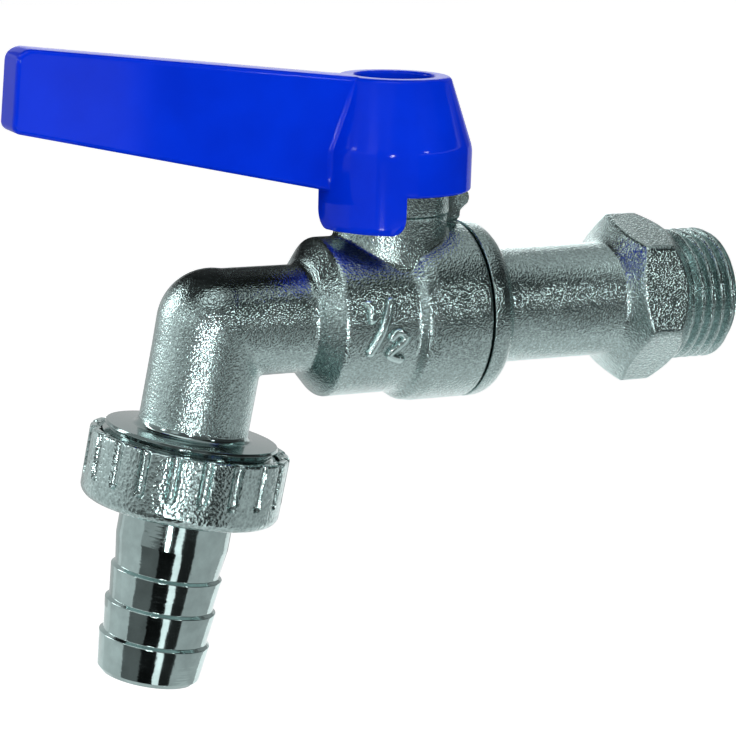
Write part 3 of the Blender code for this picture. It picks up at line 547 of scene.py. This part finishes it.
# the strokes are (x from the stem, degrees up from the barrel's side) points
mark = dict(width=0.62, height=0.72, sink=0.35, strokes=(
    [(-9.35, 20.0), (-8.75, 18.6), (-8.3, 16.9), (-8.25, 12.0), (-8.25, 4.2)],
    [(-4.88, 23.3), (-5.34, 15.4), (-5.93, 8.7), (-6.88, -3.5), (-7.84, -11.9), (-8.67, -19.0)],
    [(-5.45, -8.0), (-4.75, -4.2), (-4.04, -1.7), (-3.2, -2.4), (-2.6, -6.0), (-3.1, -9.4), (-4.22, -13.4),
     (-5.25, -17.6), (-4.9, -19.8), (-3.54, -22.4), (-2.3, -22.6)],
))


def markStroke(name, stroke):
    # a section of width * cos and height * sqrt(sin), or -sink below, carried along the stroke on the barrel
    m, barrel = mark, casting["barrel"]
    points = np.array(stroke) * (1, math.radians(1) * barrel)
    lengths = np.concatenate([[0], np.cumsum(np.linalg.norm(np.diff(points, axis=0), axis=1))])
    places = np.linspace(0, lengths[-1], 40)
    path = np.stack([np.interp(places, lengths, points[:, k]) for k in range(2)], axis=1)
    path[1:-1] = (path[:-2] + path[1:-1] * 2 + path[2:]) / 4
    ways = np.gradient(path, axis=0)
    ways /= np.linalg.norm(ways, axis=1, keepdims=True)
    sides = np.stack([-ways[:, 1], ways[:, 0]], axis=1)
    fromEnd = np.minimum(places, lengths[-1] - places)
    ends = np.sqrt(np.clip(fromEnd / m["width"], 0.02, 1))[:, None]
    turns = np.arange(16) / 16 * fullTurn
    up = np.sin(turns)
    across = np.cos(turns)[None, :] * m["width"] * ends
    lift = np.where(up > 0, np.sqrt(np.abs(up)) * m["height"], up * m["sink"])[None, :] * ends
    flat = path[:, None, :] + sides[:, None, :] * across[..., None]
    grid = aboutLine(pipeLine, flat[..., 0], barrel + lift, -flat[..., 1] / barrel)
    return gridPiece(name, grid, joined=False)


valveBody = castForm()
strokes = [markStroke("mark_%d" % number, stroke) for number, stroke in enumerate(mark["strokes"])]
carve(valveBody, [outletEnd(), *strokes], "UNION")
carve(valveBody, [*boreTools(), neckLine()], "DIFFERENCE")
dress(valveBody, "tap", "blasted_nickel", ["valve_body"], 40, "cast_nickel")


# The inlet adapter: spigot, flange, tube, hexagon and thread

adapter = dict(
    end=57.2, endEdge=9.4, mouth=7.1, mouthDepth=0.3, bore=6.8, pocketFloor=9.225, pocket=8.9,
    spigotEnd=5.808, spigot=11.0, spigotRoot=11.25, sealInside=10.4, sealOutside=12.6, sealFloor=12.55,
    front=11.55, flange=13.70, flangeEnd=16.0, tube=8.97, riseStart=37.1, riseEnd=40.0, riseBow=1.3,
    across=23.5, corner=13.38, turn=math.radians(-15), fallStart=44.9, fallSlope=0.853, fallEnd=47.9,
    threadStart=48.3, leadEdge=9.45, leadSlope=1.1, columns=288,
)
inletThread = dict(radius=10.4775, depth=1.162, pitch=1.8143, crestStep=48.56, flat=0.12)


def adapterPiece():
    # one closed surface: radius = turned path, but on the outside past the tube the highest of tube, hexagon
    # under its two turned slopes, and thread under its end slope
    a = adapter
    inner = softPath([
        (a["end"], a["endEdge"], 0), (a["end"], a["mouth"], 0), (a["end"] - a["mouthDepth"], a["bore"], 0),
        (a["pocketFloor"], a["bore"], 0), (a["pocketFloor"], a["pocket"], 0),
        (a["spigotEnd"], a["pocket"], 0), (a["spigotEnd"], a["spigot"], 0.4),
        (a["spigotRoot"], a["spigot"], 0), (a["front"], a["sealInside"], 0),
        (a["sealFloor"], a["sealInside"], 0), (a["sealFloor"], a["sealOutside"], 0),
        (a["front"], a["sealOutside"], 0), (a["front"], a["flange"], 0.2),
        (a["flangeEnd"], a["flange"], 3.39), (a["flangeEnd"], a["tube"], 0.45),
        (a["riseStart"], a["tube"], 0),
    ], arcSteps=9)
    hexSteps = np.arange(a["riseStart"] + 0.1, a["threadStart"], 0.16)
    threadSteps = np.arange(a["threadStart"], a["end"] - 0.01, 0.113)
    outer = np.concatenate([hexSteps, threadSteps])
    path = np.concatenate([inner, np.stack([outer, np.full_like(outer, a["tube"])], axis=1)])
    angles = np.arange(a["columns"]) / a["columns"] * fullTurn
    steps, angle = np.broadcast_arrays(path[:, :1], angles[None, :])
    radii = np.repeat(path[:, 1:], a["columns"], axis=1)
    outside = (np.arange(len(path)) >= len(inner))[:, None]
    climb = np.clip((steps - a["riseStart"]) / (a["riseEnd"] - a["riseStart"]), 0, 2) ** a["riseBow"]
    rise = a["tube"] + (a["corner"] - a["tube"]) * climb
    fall = a["corner"] - (steps - a["fallStart"]) * a["fallSlope"]
    flats = smoothMin(polygonRadius(angle, a["across"], 6, a["turn"]), a["corner"], 0.12)
    hexagon = smoothMin(smoothMin(flats, rise, 0.5), fall, 0.15)
    lead = a["leadEdge"] + (a["end"] - steps) * a["leadSlope"]
    thread = smoothMin(threadRadius(steps, angle, inletThread), lead, 0.1)
    shape = np.where(steps < a["fallEnd"], np.maximum(hexagon, a["tube"]), np.maximum(fall, thread))
    radii = np.where(outside, shape, radii)
    return gridPiece("inlet_end_piece", aboutLine(pipeLine, steps, radii, angle))


dress(adapterPiece(), "tap", "blasted_nickel", ["inlet_adapter"])


# The union nut with its grip slots, and the hose tail

nut = dict(
    radius=15.05, taper=0.08, top=17.7, base=28.1, floor=26.4, hole=8.8, bore=13.52, mouth=14.1,
    mouthDepth=0.7, slots=20, slotTurn=262.5, slotDepth=0.75, slotCutter=0.85, slotEnd=24.7, columns=640,
)


def unionNutPiece():
    # radius = turned path less a groove of a ball-nosed cutter at every slot:
    # depth = sqrt(cutter^2 - chord^2 - way past the last centre^2) less what the cutter stands off
    n = nut
    path = softPath([
        (n["top"] + n["mouthDepth"], n["bore"], 0.1), (n["top"], n["mouth"], 0.1),
        (n["top"], n["radius"], 0.5), (n["base"], n["radius"] - n["taper"], 1.6),
        (n["base"], n["hole"], 0.3), (n["floor"], n["hole"], 0.1), (n["floor"], n["bore"], 0.1),
    ], joined=True, arcSteps=7)
    path = splitPath(path, 0.3, joined=True)
    angles = np.arange(n["columns"]) / n["columns"] * fullTurn
    sweep = fullTurn / n["slots"]
    off = np.mod(angles - math.radians(n["slotTurn"]) + sweep / 2, sweep) - sweep / 2
    chord = np.abs(off)[None, :] * n["radius"]
    past = np.clip(path[:, :1] - (n["slotEnd"] - n["slotCutter"]), 0, None)
    reach = np.sqrt(np.clip(n["slotCutter"] ** 2 - chord ** 2 - past ** 2, 0, None))
    groove = np.clip(reach - (n["slotCutter"] - n["slotDepth"]), 0, None)
    outside = smoothStep(path[:, 1:], n["mouth"] - 0.2, n["mouth"] + 0.2)
    radii = path[:, 1:] - groove * outside
    return gridPiece("union_nut_piece", aboutLine(outletLine, path[:, :1], radii, angles[None, :]))


tail = dict(top=24.3, flange=13.22, flangeBase=26.1, plain=8.5, plainEnd=33.2, barbs=(37.95, 43.09, 48.23),
            barb=8.43, barbRise=0.4, valley=7.87, end=54.2, endRound=0.7, tip=7.78, tipEdge=7.2, bore=6.2,
            columns=200)


def hoseTailPiece():
    # a turned path: flange, plain length, three barbs with the steep side upwards, rounded end, bore
    t = tail
    corners = [(t["top"], t["flange"], 0.3), (t["flangeBase"], t["flange"], 0.3),
               (t["flangeBase"], t["plain"], 0.25), (t["plainEnd"], t["plain"], 2.0)]
    for barb in t["barbs"]:
        corners += [(barb - t["barbRise"], t["valley"], 0.12), (barb, t["barb"], 0.18)]
    corners += [(t["end"] - t["endRound"], t["tip"], 0.2), (t["end"], t["tipEdge"], 0.3),
                (t["end"], t["bore"], 0.15), (t["top"], t["bore"], 0.3)]
    path = splitPath(softPath(corners, joined=True), 0.8, joined=True)
    return turnedPiece("hose_tail_piece", outletLine, path, t["columns"])


dress(unionNutPiece(), "nut", "blasted_nickel", ["union_nut"], finish="nut_nickel")
dress(hoseTailPiece(), "tail", "polished_chrome", ["hose_tail"])


# The lever: hub with its skirt and recess, and the arm

lever = dict(
    hub=12.0, hubTop=36.2, topRadius=8.45, shoulder=25.7, shoulderRound=5.0, base=19.3, skirtBase=13.67,
    bore=9.9, web=25.4, floor=29.6, recess=5.95, hole=3.5, square=6.6,
    skirts=((14.43, 89.93), (180.07, 255.57)), skirtCorner=2.2, skirtBlend=3.0,
)


def skirtDrop(angles):
    # how far the rim hangs down at each angle: full over each skirt length, rounded at both of its ends
    l = lever
    full = l["base"] - l["skirtBase"]
    drop = np.zeros_like(angles)
    for start, end in l["skirts"]:
        inside = np.minimum(angles - math.radians(start), math.radians(end) - angles) * l["hub"]
        left = l["skirtCorner"] - np.clip(inside, 0, l["skirtCorner"])
        corner = l["skirtCorner"] - np.sqrt(np.clip(l["skirtCorner"] ** 2 - left ** 2, 0, None))
        drop = np.where(inside >= 0, full - corner, drop)
    return drop


def hubPiece():
    # one closed surface round the stem: the rim's height comes from skirtDrop, the hole's radius from a
    # square
    l = lever
    path = softPath([
        (l["base"], l["bore"] + 0.3, 0.25), (l["base"], l["hub"], 0.4),
        (l["shoulder"], l["hub"], l["shoulderRound"]), (l["hubTop"], l["topRadius"], 0.85),
        (l["hubTop"], l["recess"], 0.45), (l["floor"], l["recess"], 0.3), (l["floor"], l["hole"], 0),
        (l["web"], l["hole"], 0), (l["web"], l["bore"], 0.3),
    ], joined=True, arcSteps=8)
    path = splitPath(path, 0.8, joined=True)
    # more columns towards each skirt end
    closer = np.concatenate([[-0.1, 0.0], np.linspace(0.02, 1, 26) ** 1.5 * 10.5])
    stations = [np.linspace(0, 360, 181)[:-1]]
    for start, end in l["skirts"]:
        stations += [start + closer, end - closer]
    angles = np.unique(np.round(np.mod(np.concatenate(stations), 360), 3))
    angles = np.radians(angles[np.concatenate([[True], np.diff(angles) > 0.04])])
    steps = np.repeat(path[:, :1], len(angles), axis=1)
    radii = np.repeat(path[:, 1:], len(angles), axis=1)
    low = np.clip((l["base"] + l["skirtBlend"] - steps) / l["skirtBlend"], 0, 1)
    steps = steps - low * skirtDrop(angles)[None, :]
    inHole = radii < l["hole"] + 0.1
    radii = np.where(inHole, polygonRadius(angles, l["square"], 4, 0)[None, :], radii)
    return gridPiece("lever_piece", aboutLine(stemLine, steps, radii, angles[None, :]))


arm = dict(
    halfWidth=3.3, edge=0.65, crown=0.15, reach=59.8, slant=0.8, topTip=41.25, baseTip=29.4, topRoot=36.32,
    baseRoot=19.35, inside=7.2, insideFoot=28.0, rootReach=10.9, rootTop=26.8,
)


def armPiece():
    # the side view's outline, drawn in by edge * (1 - sin) where the half width is full less
    # edge * (1 - cos), for a quarter turn on each side, and along the top by
    # crown * (way from the middle / half width)^2
    a = arm
    outline = softPath([
        (-a["inside"], a["topRoot"], 0), (-a["inside"], a["insideFoot"], 0),
        (-a["rootReach"], a["rootTop"], 0), (-a["rootReach"], a["baseRoot"], 0),
        (-a["reach"], a["baseTip"], 1.3), (-(a["reach"] - a["slant"]), a["topTip"], 2.2),
    ], joined=True, arcSteps=10)
    outline = splitPath(outline, 2.0, joined=True)
    ways = np.roll(outline, -1, axis=0) - np.roll(outline, 1, axis=0)
    ways /= np.linalg.norm(ways, axis=1, keepdims=True)
    inward = np.stack([ways[:, 1], -ways[:, 0]], axis=1)
    turns = np.linspace(0, math.pi / 2, 8)
    inset = a["edge"] * (1 - np.sin(turns))
    width = a["halfWidth"] - a["edge"] * (1 - np.cos(turns))
    across = np.linspace(-width[-1], width[-1], 9)[1:-1]
    inset = np.concatenate([inset, 0 * across, inset[::-1]])[:, None]
    sides = np.concatenate([-width, across, width[::-1]])[:, None]
    top = smoothStep(-inward[:, 1], 0.5, 0.9)[None, :]
    inset = inset + top * a["crown"] * (sides / a["halfWidth"]) ** 2
    flat = outline[None, :, :] + inward[None, :, :] * inset[..., None]
    grid = np.stack([flat[..., 0] + stemX, sides + 0 * inset, flat[..., 1]], axis=-1) * mm
    return gridPiece("lever_arm", grid, joined=False)


crease = dict(radius=0.9, least=0.05, foot=19.7, top=35.8, growStart=19.5, growEnd=21.5, fadeStart=33.5,
              fadeEnd=36.4, sunk=0.8, lap=0.15)


def creaseFillet(side):
    # at each height the arc that touches the arm's side and the hub from outside: its middle lies at
    # hub + r from the stem and at half width + r from the arm's middle; the section closes inside both
    c, l, halfWidth = crease, lever, arm["halfWidth"]
    heights = np.linspace(c["foot"], c["top"], 44)[:, None]
    hubRadius = np.interp(heights, [l["shoulder"], l["hubTop"]], [l["hub"], l["topRadius"]])
    grown = smoothStep(heights, c["growStart"], c["growEnd"])
    grown = grown * (1 - smoothStep(heights, c["fadeStart"], c["fadeEnd"]))
    r = c["radius"] * grown + c["least"]
    middleY = halfWidth + r
    middleX = np.sqrt((hubRadius + r) ** 2 - middleY ** 2)
    last = np.arctan2(middleY, middleX)
    turns = math.pi / 2 + (last - math.pi / 2) * np.linspace(0, 1, 9)[None, :]
    arcX, arcY = middleX - r * np.cos(turns), middleY - r * np.sin(turns)
    innerY = halfWidth - c["sunk"]
    innerX = np.sqrt((hubRadius - c["sunk"]) ** 2 - innerY ** 2)
    sunk = 1 - c["lap"] / hubRadius
    x = np.concatenate([middleX, arcX, arcX[:, -1:] * sunk, innerX], axis=1)
    y = np.concatenate([0 * r + halfWidth - c["lap"], arcY, arcY[:, -1:] * sunk, 0 * r + innerY], axis=1)
    grid = np.stack([stemX - x, side * y, heights + 0 * x], axis=-1) * mm
    return gridPiece("lever_crease", grid, joined=False)


leverPiece = hubPiece()
carve(leverPiece, [armPiece(), creaseFillet(1), creaseFillet(-1)], "UNION")
addModifier(leverPiece, "WEIGHTED_NORMAL", keep_sharp=True)
dress(leverPiece, "lever_and_ball", "blue_enamel", ["lever"])


# Small turned pieces under and in the lever

stem = dict(
    foot=6.7, blade=4.2, bladeHalfThick=2.0, bladeHalfWidth=4.0, collarFoot=10.1, collar=5.4, collarTop=11.7,
    shank=4.5, grooves=((13.44, 15.04), (15.56, 17.16)), groove=3.2, squareFoot=24.3, squareTop=29.2,
    square=6.0, squareCorner=4.1, threadStart=29.25, threadEnd=34.6, end=35.0, endEdge=2.0, columns=96,
)
tipThread = dict(radius=2.4, depth=0.42, pitch=0.8, crestStep=30.0, flat=0.12)


def stemPiece():
    # radius = turned path with a thread at its tip; flats of the square and the blade cut it down
    s = stem
    corners = [(s["foot"], onAxis, 0), (s["foot"], s["blade"], 0), (s["collarFoot"], s["blade"], 0),
               (s["collarFoot"], s["collar"], 0.2), (s["collarTop"], s["collar"], 0.2),
               (s["collarTop"], s["shank"], 0)]
    for start, end in s["grooves"]:
        corners += [(start, s["shank"], 0), (start, s["groove"], 0)]
        corners += [(end, s["groove"], 0), (end, s["shank"], 0)]
    corners += [(s["squareFoot"], s["shank"], 0.3), (s["squareFoot"], s["blade"], 0),
                (s["squareTop"], s["blade"], 0.1), (s["squareTop"], tipThread["radius"], 0)]
    tipSteps = np.arange(s["threadStart"], s["threadEnd"], 0.08)
    crests = np.stack([tipSteps, np.full_like(tipSteps, tipThread["radius"])], axis=1)
    path = np.concatenate([softPath(corners), crests, [(s["end"], s["endEdge"]), (s["end"], onAxis)]])
    angles = np.arange(s["columns"]) / s["columns"] * fullTurn
    steps, angle = np.broadcast_arrays(path[:, :1], angles[None, :])
    radii = np.repeat(path[:, 1:], s["columns"], axis=1)
    square = np.minimum(polygonRadius(angle, s["square"], 4, 0), s["squareCorner"])
    blade = np.minimum(s["bladeHalfThick"] / np.maximum(np.abs(np.cos(angle)), 0.02),
                       s["bladeHalfWidth"] / np.maximum(np.abs(np.sin(angle)), 0.02))
    inSquare = (steps > s["squareFoot"] + 0.05) & (steps <= s["squareTop"])
    inSquare = inSquare & (radii > tipThread["radius"] + 0.1)
    inBlade = (steps <= s["collarFoot"]) & (radii < s["blade"] + 0.1)
    inThread = (steps >= s["threadStart"]) & (steps < s["threadEnd"])
    radii = np.where(inSquare | inBlade, np.minimum(radii, np.where(inSquare, square, blade)), radii)
    radii = np.where(inThread, threadRadius(steps, angle, tipThread), radii)
    return gridPiece("stem_piece", aboutLine(stemLine, steps, radii, angle), joined=False)


fixingNut = dict(across=8.0, hole=2.7, base=31.2, top=34.4, chamfer=0.15, columns=144)
glandNut = dict(across=14.0, hole=4.8, base=21.3, top=24.3, chamfer=0.2, sleeve=6.6, sleeveFoot=19.3,
                columns=144)


def hexNutPiece(name, size):
    # radius = hexagon under a turned chamfer at the top; a sleeve below it where the size has one
    base, top, hole, sleeve = size["base"], size["top"], size["hole"], size.get("sleeve")
    corner = size["across"] / math.sqrt(3)
    path = [(base, hole, 0), (base, corner, 0), (top, corner, 0), (top, hole, 0)]
    if sleeve:
        path[:1] = [(size["sleeveFoot"], hole, 0), (size["sleeveFoot"], sleeve, 0.2), (base, sleeve, 0)]
    path = splitPath(softPath(path, joined=True), 0.25, joined=True)
    angles = np.arange(size["columns"]) / size["columns"] * fullTurn
    steps, angle = np.broadcast_arrays(path[:, :1], angles[None, :])
    radii = np.repeat(path[:, 1:], size["columns"], axis=1)
    inHead = (steps >= base) & (radii > (sleeve + 0.1 if sleeve else hole + 0.3))
    crown = size["across"] / 2 - size["chamfer"] + (top - steps) * 1.7
    hexagon = smoothMin(polygonRadius(angle, size["across"], 6, 0), crown, 0.08)
    radii = np.where(inHead, np.minimum(radii, hexagon), radii)
    return gridPiece(name, aboutLine(stemLine, steps, radii, angle))


washer = dict(base=29.9, top=30.9, hole=2.7, radius=5.2)


def washerPiece():
    w = washer
    path = softPath([
        (w["base"], w["hole"], 0.1), (w["base"], w["radius"], 0.25), (w["top"], w["radius"], 0.25),
        (w["top"], w["hole"], 0.1),
    ], joined=True)
    return turnedPiece("fixing_washer_piece", stemLine, path, 96)


dress(stemPiece(), "lever_and_ball", "turned_brass", ["stem"])
dress(hexNutPiece("fixing_nut_piece", fixingNut), "lever_and_ball", "zinc_steel", ["fixing_nut"])
dress(hexNutPiece("gland_nut_piece", glandNut), "tap", "turned_brass", ["gland_nut"])
dress(washerPiece(), "lever_and_ball", "zinc_steel", ["fixing_washer"])

# the solids that stay take their slot's finish
slotOfNode = {
    "adapter_seal": "black_rubber", "ball": "bright_chrome", "seat_ring_inlet": "white_ptfe",
    "seat_ring_outlet": "white_ptfe", "thrust_washer": "white_ptfe", "stem_o_ring_lower": "black_rubber",
    "stem_o_ring_upper": "black_rubber", "packing_ring": "white_ptfe", "hose_gasket": "black_rubber",
}
for nodeName, slotName in slotOfNode.items():
    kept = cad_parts[nodeName]
    kept.data.materials.clear()
    kept.data.materials.append(finishes[slotName])
print("kept solids painted:", len(slotOfNode))


# Floor, light and camera, in mm

studio = dict(
    target=(-60, 0, 0), floorDrop=-262.0, floorHalf=4000.0, floorTone=0.9, floorGlow=0.6, worldFill=0.42,
    underReach=250.0, nearReach=330.0, farReach=1300.0, roofReach=1350.0,
)
target = Vector(studio["target"]) * mm

# lamps as turn, tilt, distance, width, height, power and whether they show in reflections; turn 0 stands
# towards -Y and grows towards +X, tilt 0 is level
lamps = dict(
    fill_left=(-50, 45, 650, 500, 400, 1.7, False),
    fill_right=(35, 30, 650, 400, 400, 1.3, False),
    glint_left=(-25, 10, 582, 50, 70, 0.45, True),
    glint_low=(-37, -11.5, 312, 30, 42, 0.13, True),
    glint_right=(26, 20, 560, 50, 50, 0.16, True),
    glint_high=(-84, 22, 600, 70, 70, 0.12, True),
)

# what the shiny surfaces see round the set, as turn from, turn to, tilt from, tilt to, reach and brightness
boards = dict(
    underside=(-180, 180, -89, -50, "underReach", 0.66),
    left_low=(-138, -86, -50, 2, "nearReach", 0.66),
    left_back=(-172, -138, -50, 14, "nearReach", 0.80),
    left_dim=(-86, -52, -50, -10, "nearReach", 0.14),
    left_level=(-86, -48, -10, 14, "nearReach", 0.42),
    camera_low=(-52, -22, -50, -10, "nearReach", 0.005),
    camera_level=(-48, 13, -10, 30, "farReach", 0.16),
    camera_high=(-64, 13, 30, 54, "farReach", 0.12),
    white_strip=(-22, -9, -50, -10, "nearReach", 1.5),
    right_dim=(-9, 18, -50, -12, "nearReach", 0.02),
    right_low=(18, 112, -50, -12, "nearReach", 0.50),
    right_level=(13, 112, -12, 14, "nearReach", 0.06),
    right_high=(13, 112, 14, 54, "farReach", 0.03),
    left_high=(-126, -64, 14, 54, "farReach", 0.35),
    left_far=(-172, -138, 14, 54, "farReach", 0.30),
    left_streak=(-138, -126, 4, 46, "farReach", 6.0),
    back_right=(95, 140, 2, 54, "farReach", 0.30),
    back_glow=(145, 172, -1, 30, "farReach", 2.2),
    back_high=(140, 188, 30, 54, "farReach", 0.30),
    key=(-100, -5, 54, 80, "farReach", 1.6),
    ceiling=(-180, 180, 54, 89, "roofReach", 0.50),
)

# flags are sheets seen only in reflections: painted dark reflections on the tops of the spout, the barrel and
# the collar, which also keep the arm's blue off the spout, and a paler one below: x, y and z from and to,
# brightness
flags = dict(
    flag_above=(-150, -28, -6, 120, 105, 105, 0.01),
    flag_behind=(-98, -40, 26, 26, 9, 32, 0.01),
    flag_below=(-112, -56, 26, 26, -50, 9, 0.55),
    flag_under=(-106, -70, -8, 8, 17.5, 17.5, 0.01),
)

# the photograph's viewpoint: place in metres, turn, tilt and roll in degrees, lens in mm
view = dict(place=(-0.209679, -0.314431, 0.071016), turn=-25.425, tilt=12.872, roll=1.621, lens=114.175)


def around(turns, tilts, reach):
    # reach * (cos(tilt) * sin(turn), -cos(tilt) * cos(turn), sin(tilt)), in mm from the target
    turns, tilts = np.broadcast_arrays(np.radians(turns), np.radians(tilts))
    ways = [np.cos(tilts) * np.sin(turns), -np.cos(tilts) * np.cos(turns), np.sin(tilts)]
    return np.stack(ways, axis=-1) * reach


def rayShare(recipe, bottom=0.0):
    # 1 for camera, glossy and transmission rays, and the bottom for the light that falls on things
    camera, glossy, through = (
        recipe.node("LightPath", output="Is %s Ray" % kind) for kind in ("Camera", "Glossy", "Transmission"))
    return recipe.levels(camera + glossy + through, 0, 1, bottom)


def buildFloor():
    s = studio
    recipe = Recipe("studio_floor", Roughness=0.9, Base_Color=grey(s["floorTone"]),
                    Emission_Strength=s["floorGlow"])
    recipe.feed(Emission_Color=recipe.blend(rayShare(recipe), grey(0.0), grey(1.0)))
    corners = np.array([(-1, -1), (1, -1), (1, 1), (-1, 1)]) * s["floorHalf"]
    points = np.concatenate([corners, np.full((4, 1), s["floorDrop"])], axis=1) * mm
    mesh = bpy.data.meshes.new("floor")
    mesh.from_pydata(points.tolist(), [], [(0, 1, 2, 3)])
    mesh.materials.append(recipe.material)
    place("floor", mesh)


def buildWorld():
    world = bpy.data.worlds.new("studio")
    bpy.context.scene.world = world
    recipe = Recipe("studio", world, Color=grey(1.0))
    recipe.feed(Strength=rayShare(recipe, studio["worldFill"]))


def softLamp(name, turn, tilt, reach, wide, high, power, reflected):
    # a flat lamp that looks at the target
    lamp = bpy.data.lights.new(name, "AREA")
    lamp.shape = "RECTANGLE"
    lamp.size, lamp.size_y = wide * mm, high * mm
    lamp.energy = power
    thing = place(name, lamp)
    stand = Vector(around(turn, tilt, reach))
    thing.location = target + stand * mm
    thing.rotation_euler = (-stand).to_track_quat("-Z", "Y").to_euler()
    thing.visible_glossy = reflected


def card(name, points, level):
    # a glowing sheet on a grid of points in metres, seen only in reflections
    index = np.arange(points.shape[0] * points.shape[1]).reshape(points.shape[:2])
    quads = np.stack([index[:-1, :-1], index[:-1, 1:], index[1:, 1:], index[1:, :-1]], axis=-1)
    mesh = bpy.data.meshes.new(name)
    mesh.from_pydata(points.reshape(-1, 3).tolist(), [], quads.reshape(-1, 4).tolist())
    recipe = Recipe(name + "_paint", Roughness=1.0, Emission_Strength=1.0, Base_Color=grey(0.0),
                    Specular_IOR_Level=0.0, Emission_Color=grey(level))
    mesh.materials.append(recipe.material)
    sheet = place(name, mesh)
    sheet.visible_camera = False
    sheet.visible_diffuse = False
    sheet.visible_shadow = False
    sheet.visible_transmission = False


def board(name, turnFrom, turnTo, tiltFrom, tiltTo, reachName, level):
    # a patch of a big sphere round the set: turn runs along it and tilt up it
    turns = np.linspace(turnFrom, turnTo, 48)[None, :]
    tilts = np.linspace(tiltFrom, tiltTo, 24)[:, None]
    card(name, around(turns, tilts, studio[reachName]) * mm + np.array(target), level)


def flag(name, xFrom, xTo, yFrom, yTo, zFrom, zTo, level):
    # a flat sheet: x runs along it, y and z across it
    across = np.array([[xFrom, xTo], [xFrom, xTo]])
    back = np.array([[yFrom, yFrom], [yTo, yTo]])
    up = np.array([[zFrom, zFrom], [zTo, zTo]])
    card(name, np.stack([across, back, up], axis=-1) * mm, level)


def buildCamera():
    # the view's axes from its turn and tilt, then rolled about the line of sight
    turn, tilt, roll = (math.radians(view[key]) for key in ("turn", "tilt", "roll"))
    right = Vector((math.cos(turn), math.sin(turn), 0))
    back = Vector((math.sin(turn) * math.cos(tilt), -math.cos(turn) * math.cos(tilt), math.sin(tilt)))
    upward = back.cross(right)
    rolledRight = right * math.cos(roll) + upward * math.sin(roll)
    rolledUp = upward * math.cos(roll) - right * math.sin(roll)
    camera = place("photo_view", bpy.data.cameras.new("photo_view"))
    camera.data.sensor_width = 36
    camera.data.lens = view["lens"]
    camera.data.clip_start = 0.01
    axes = Matrix((rolledRight, rolledUp, back)).transposed()
    camera.matrix_world = Matrix.Translation(view["place"]) @ axes.to_4x4()
    bpy.context.scene.camera = camera


buildFloor()
buildWorld()
for name, values in lamps.items():
    softLamp(name, *values)
for name, values in boards.items():
    board(name, *values)
for name, values in flags.items():
    flag(name, *values)
buildCamera()
bpy.context.scene.view_settings.view_transform = "Standard"
print("studio set")
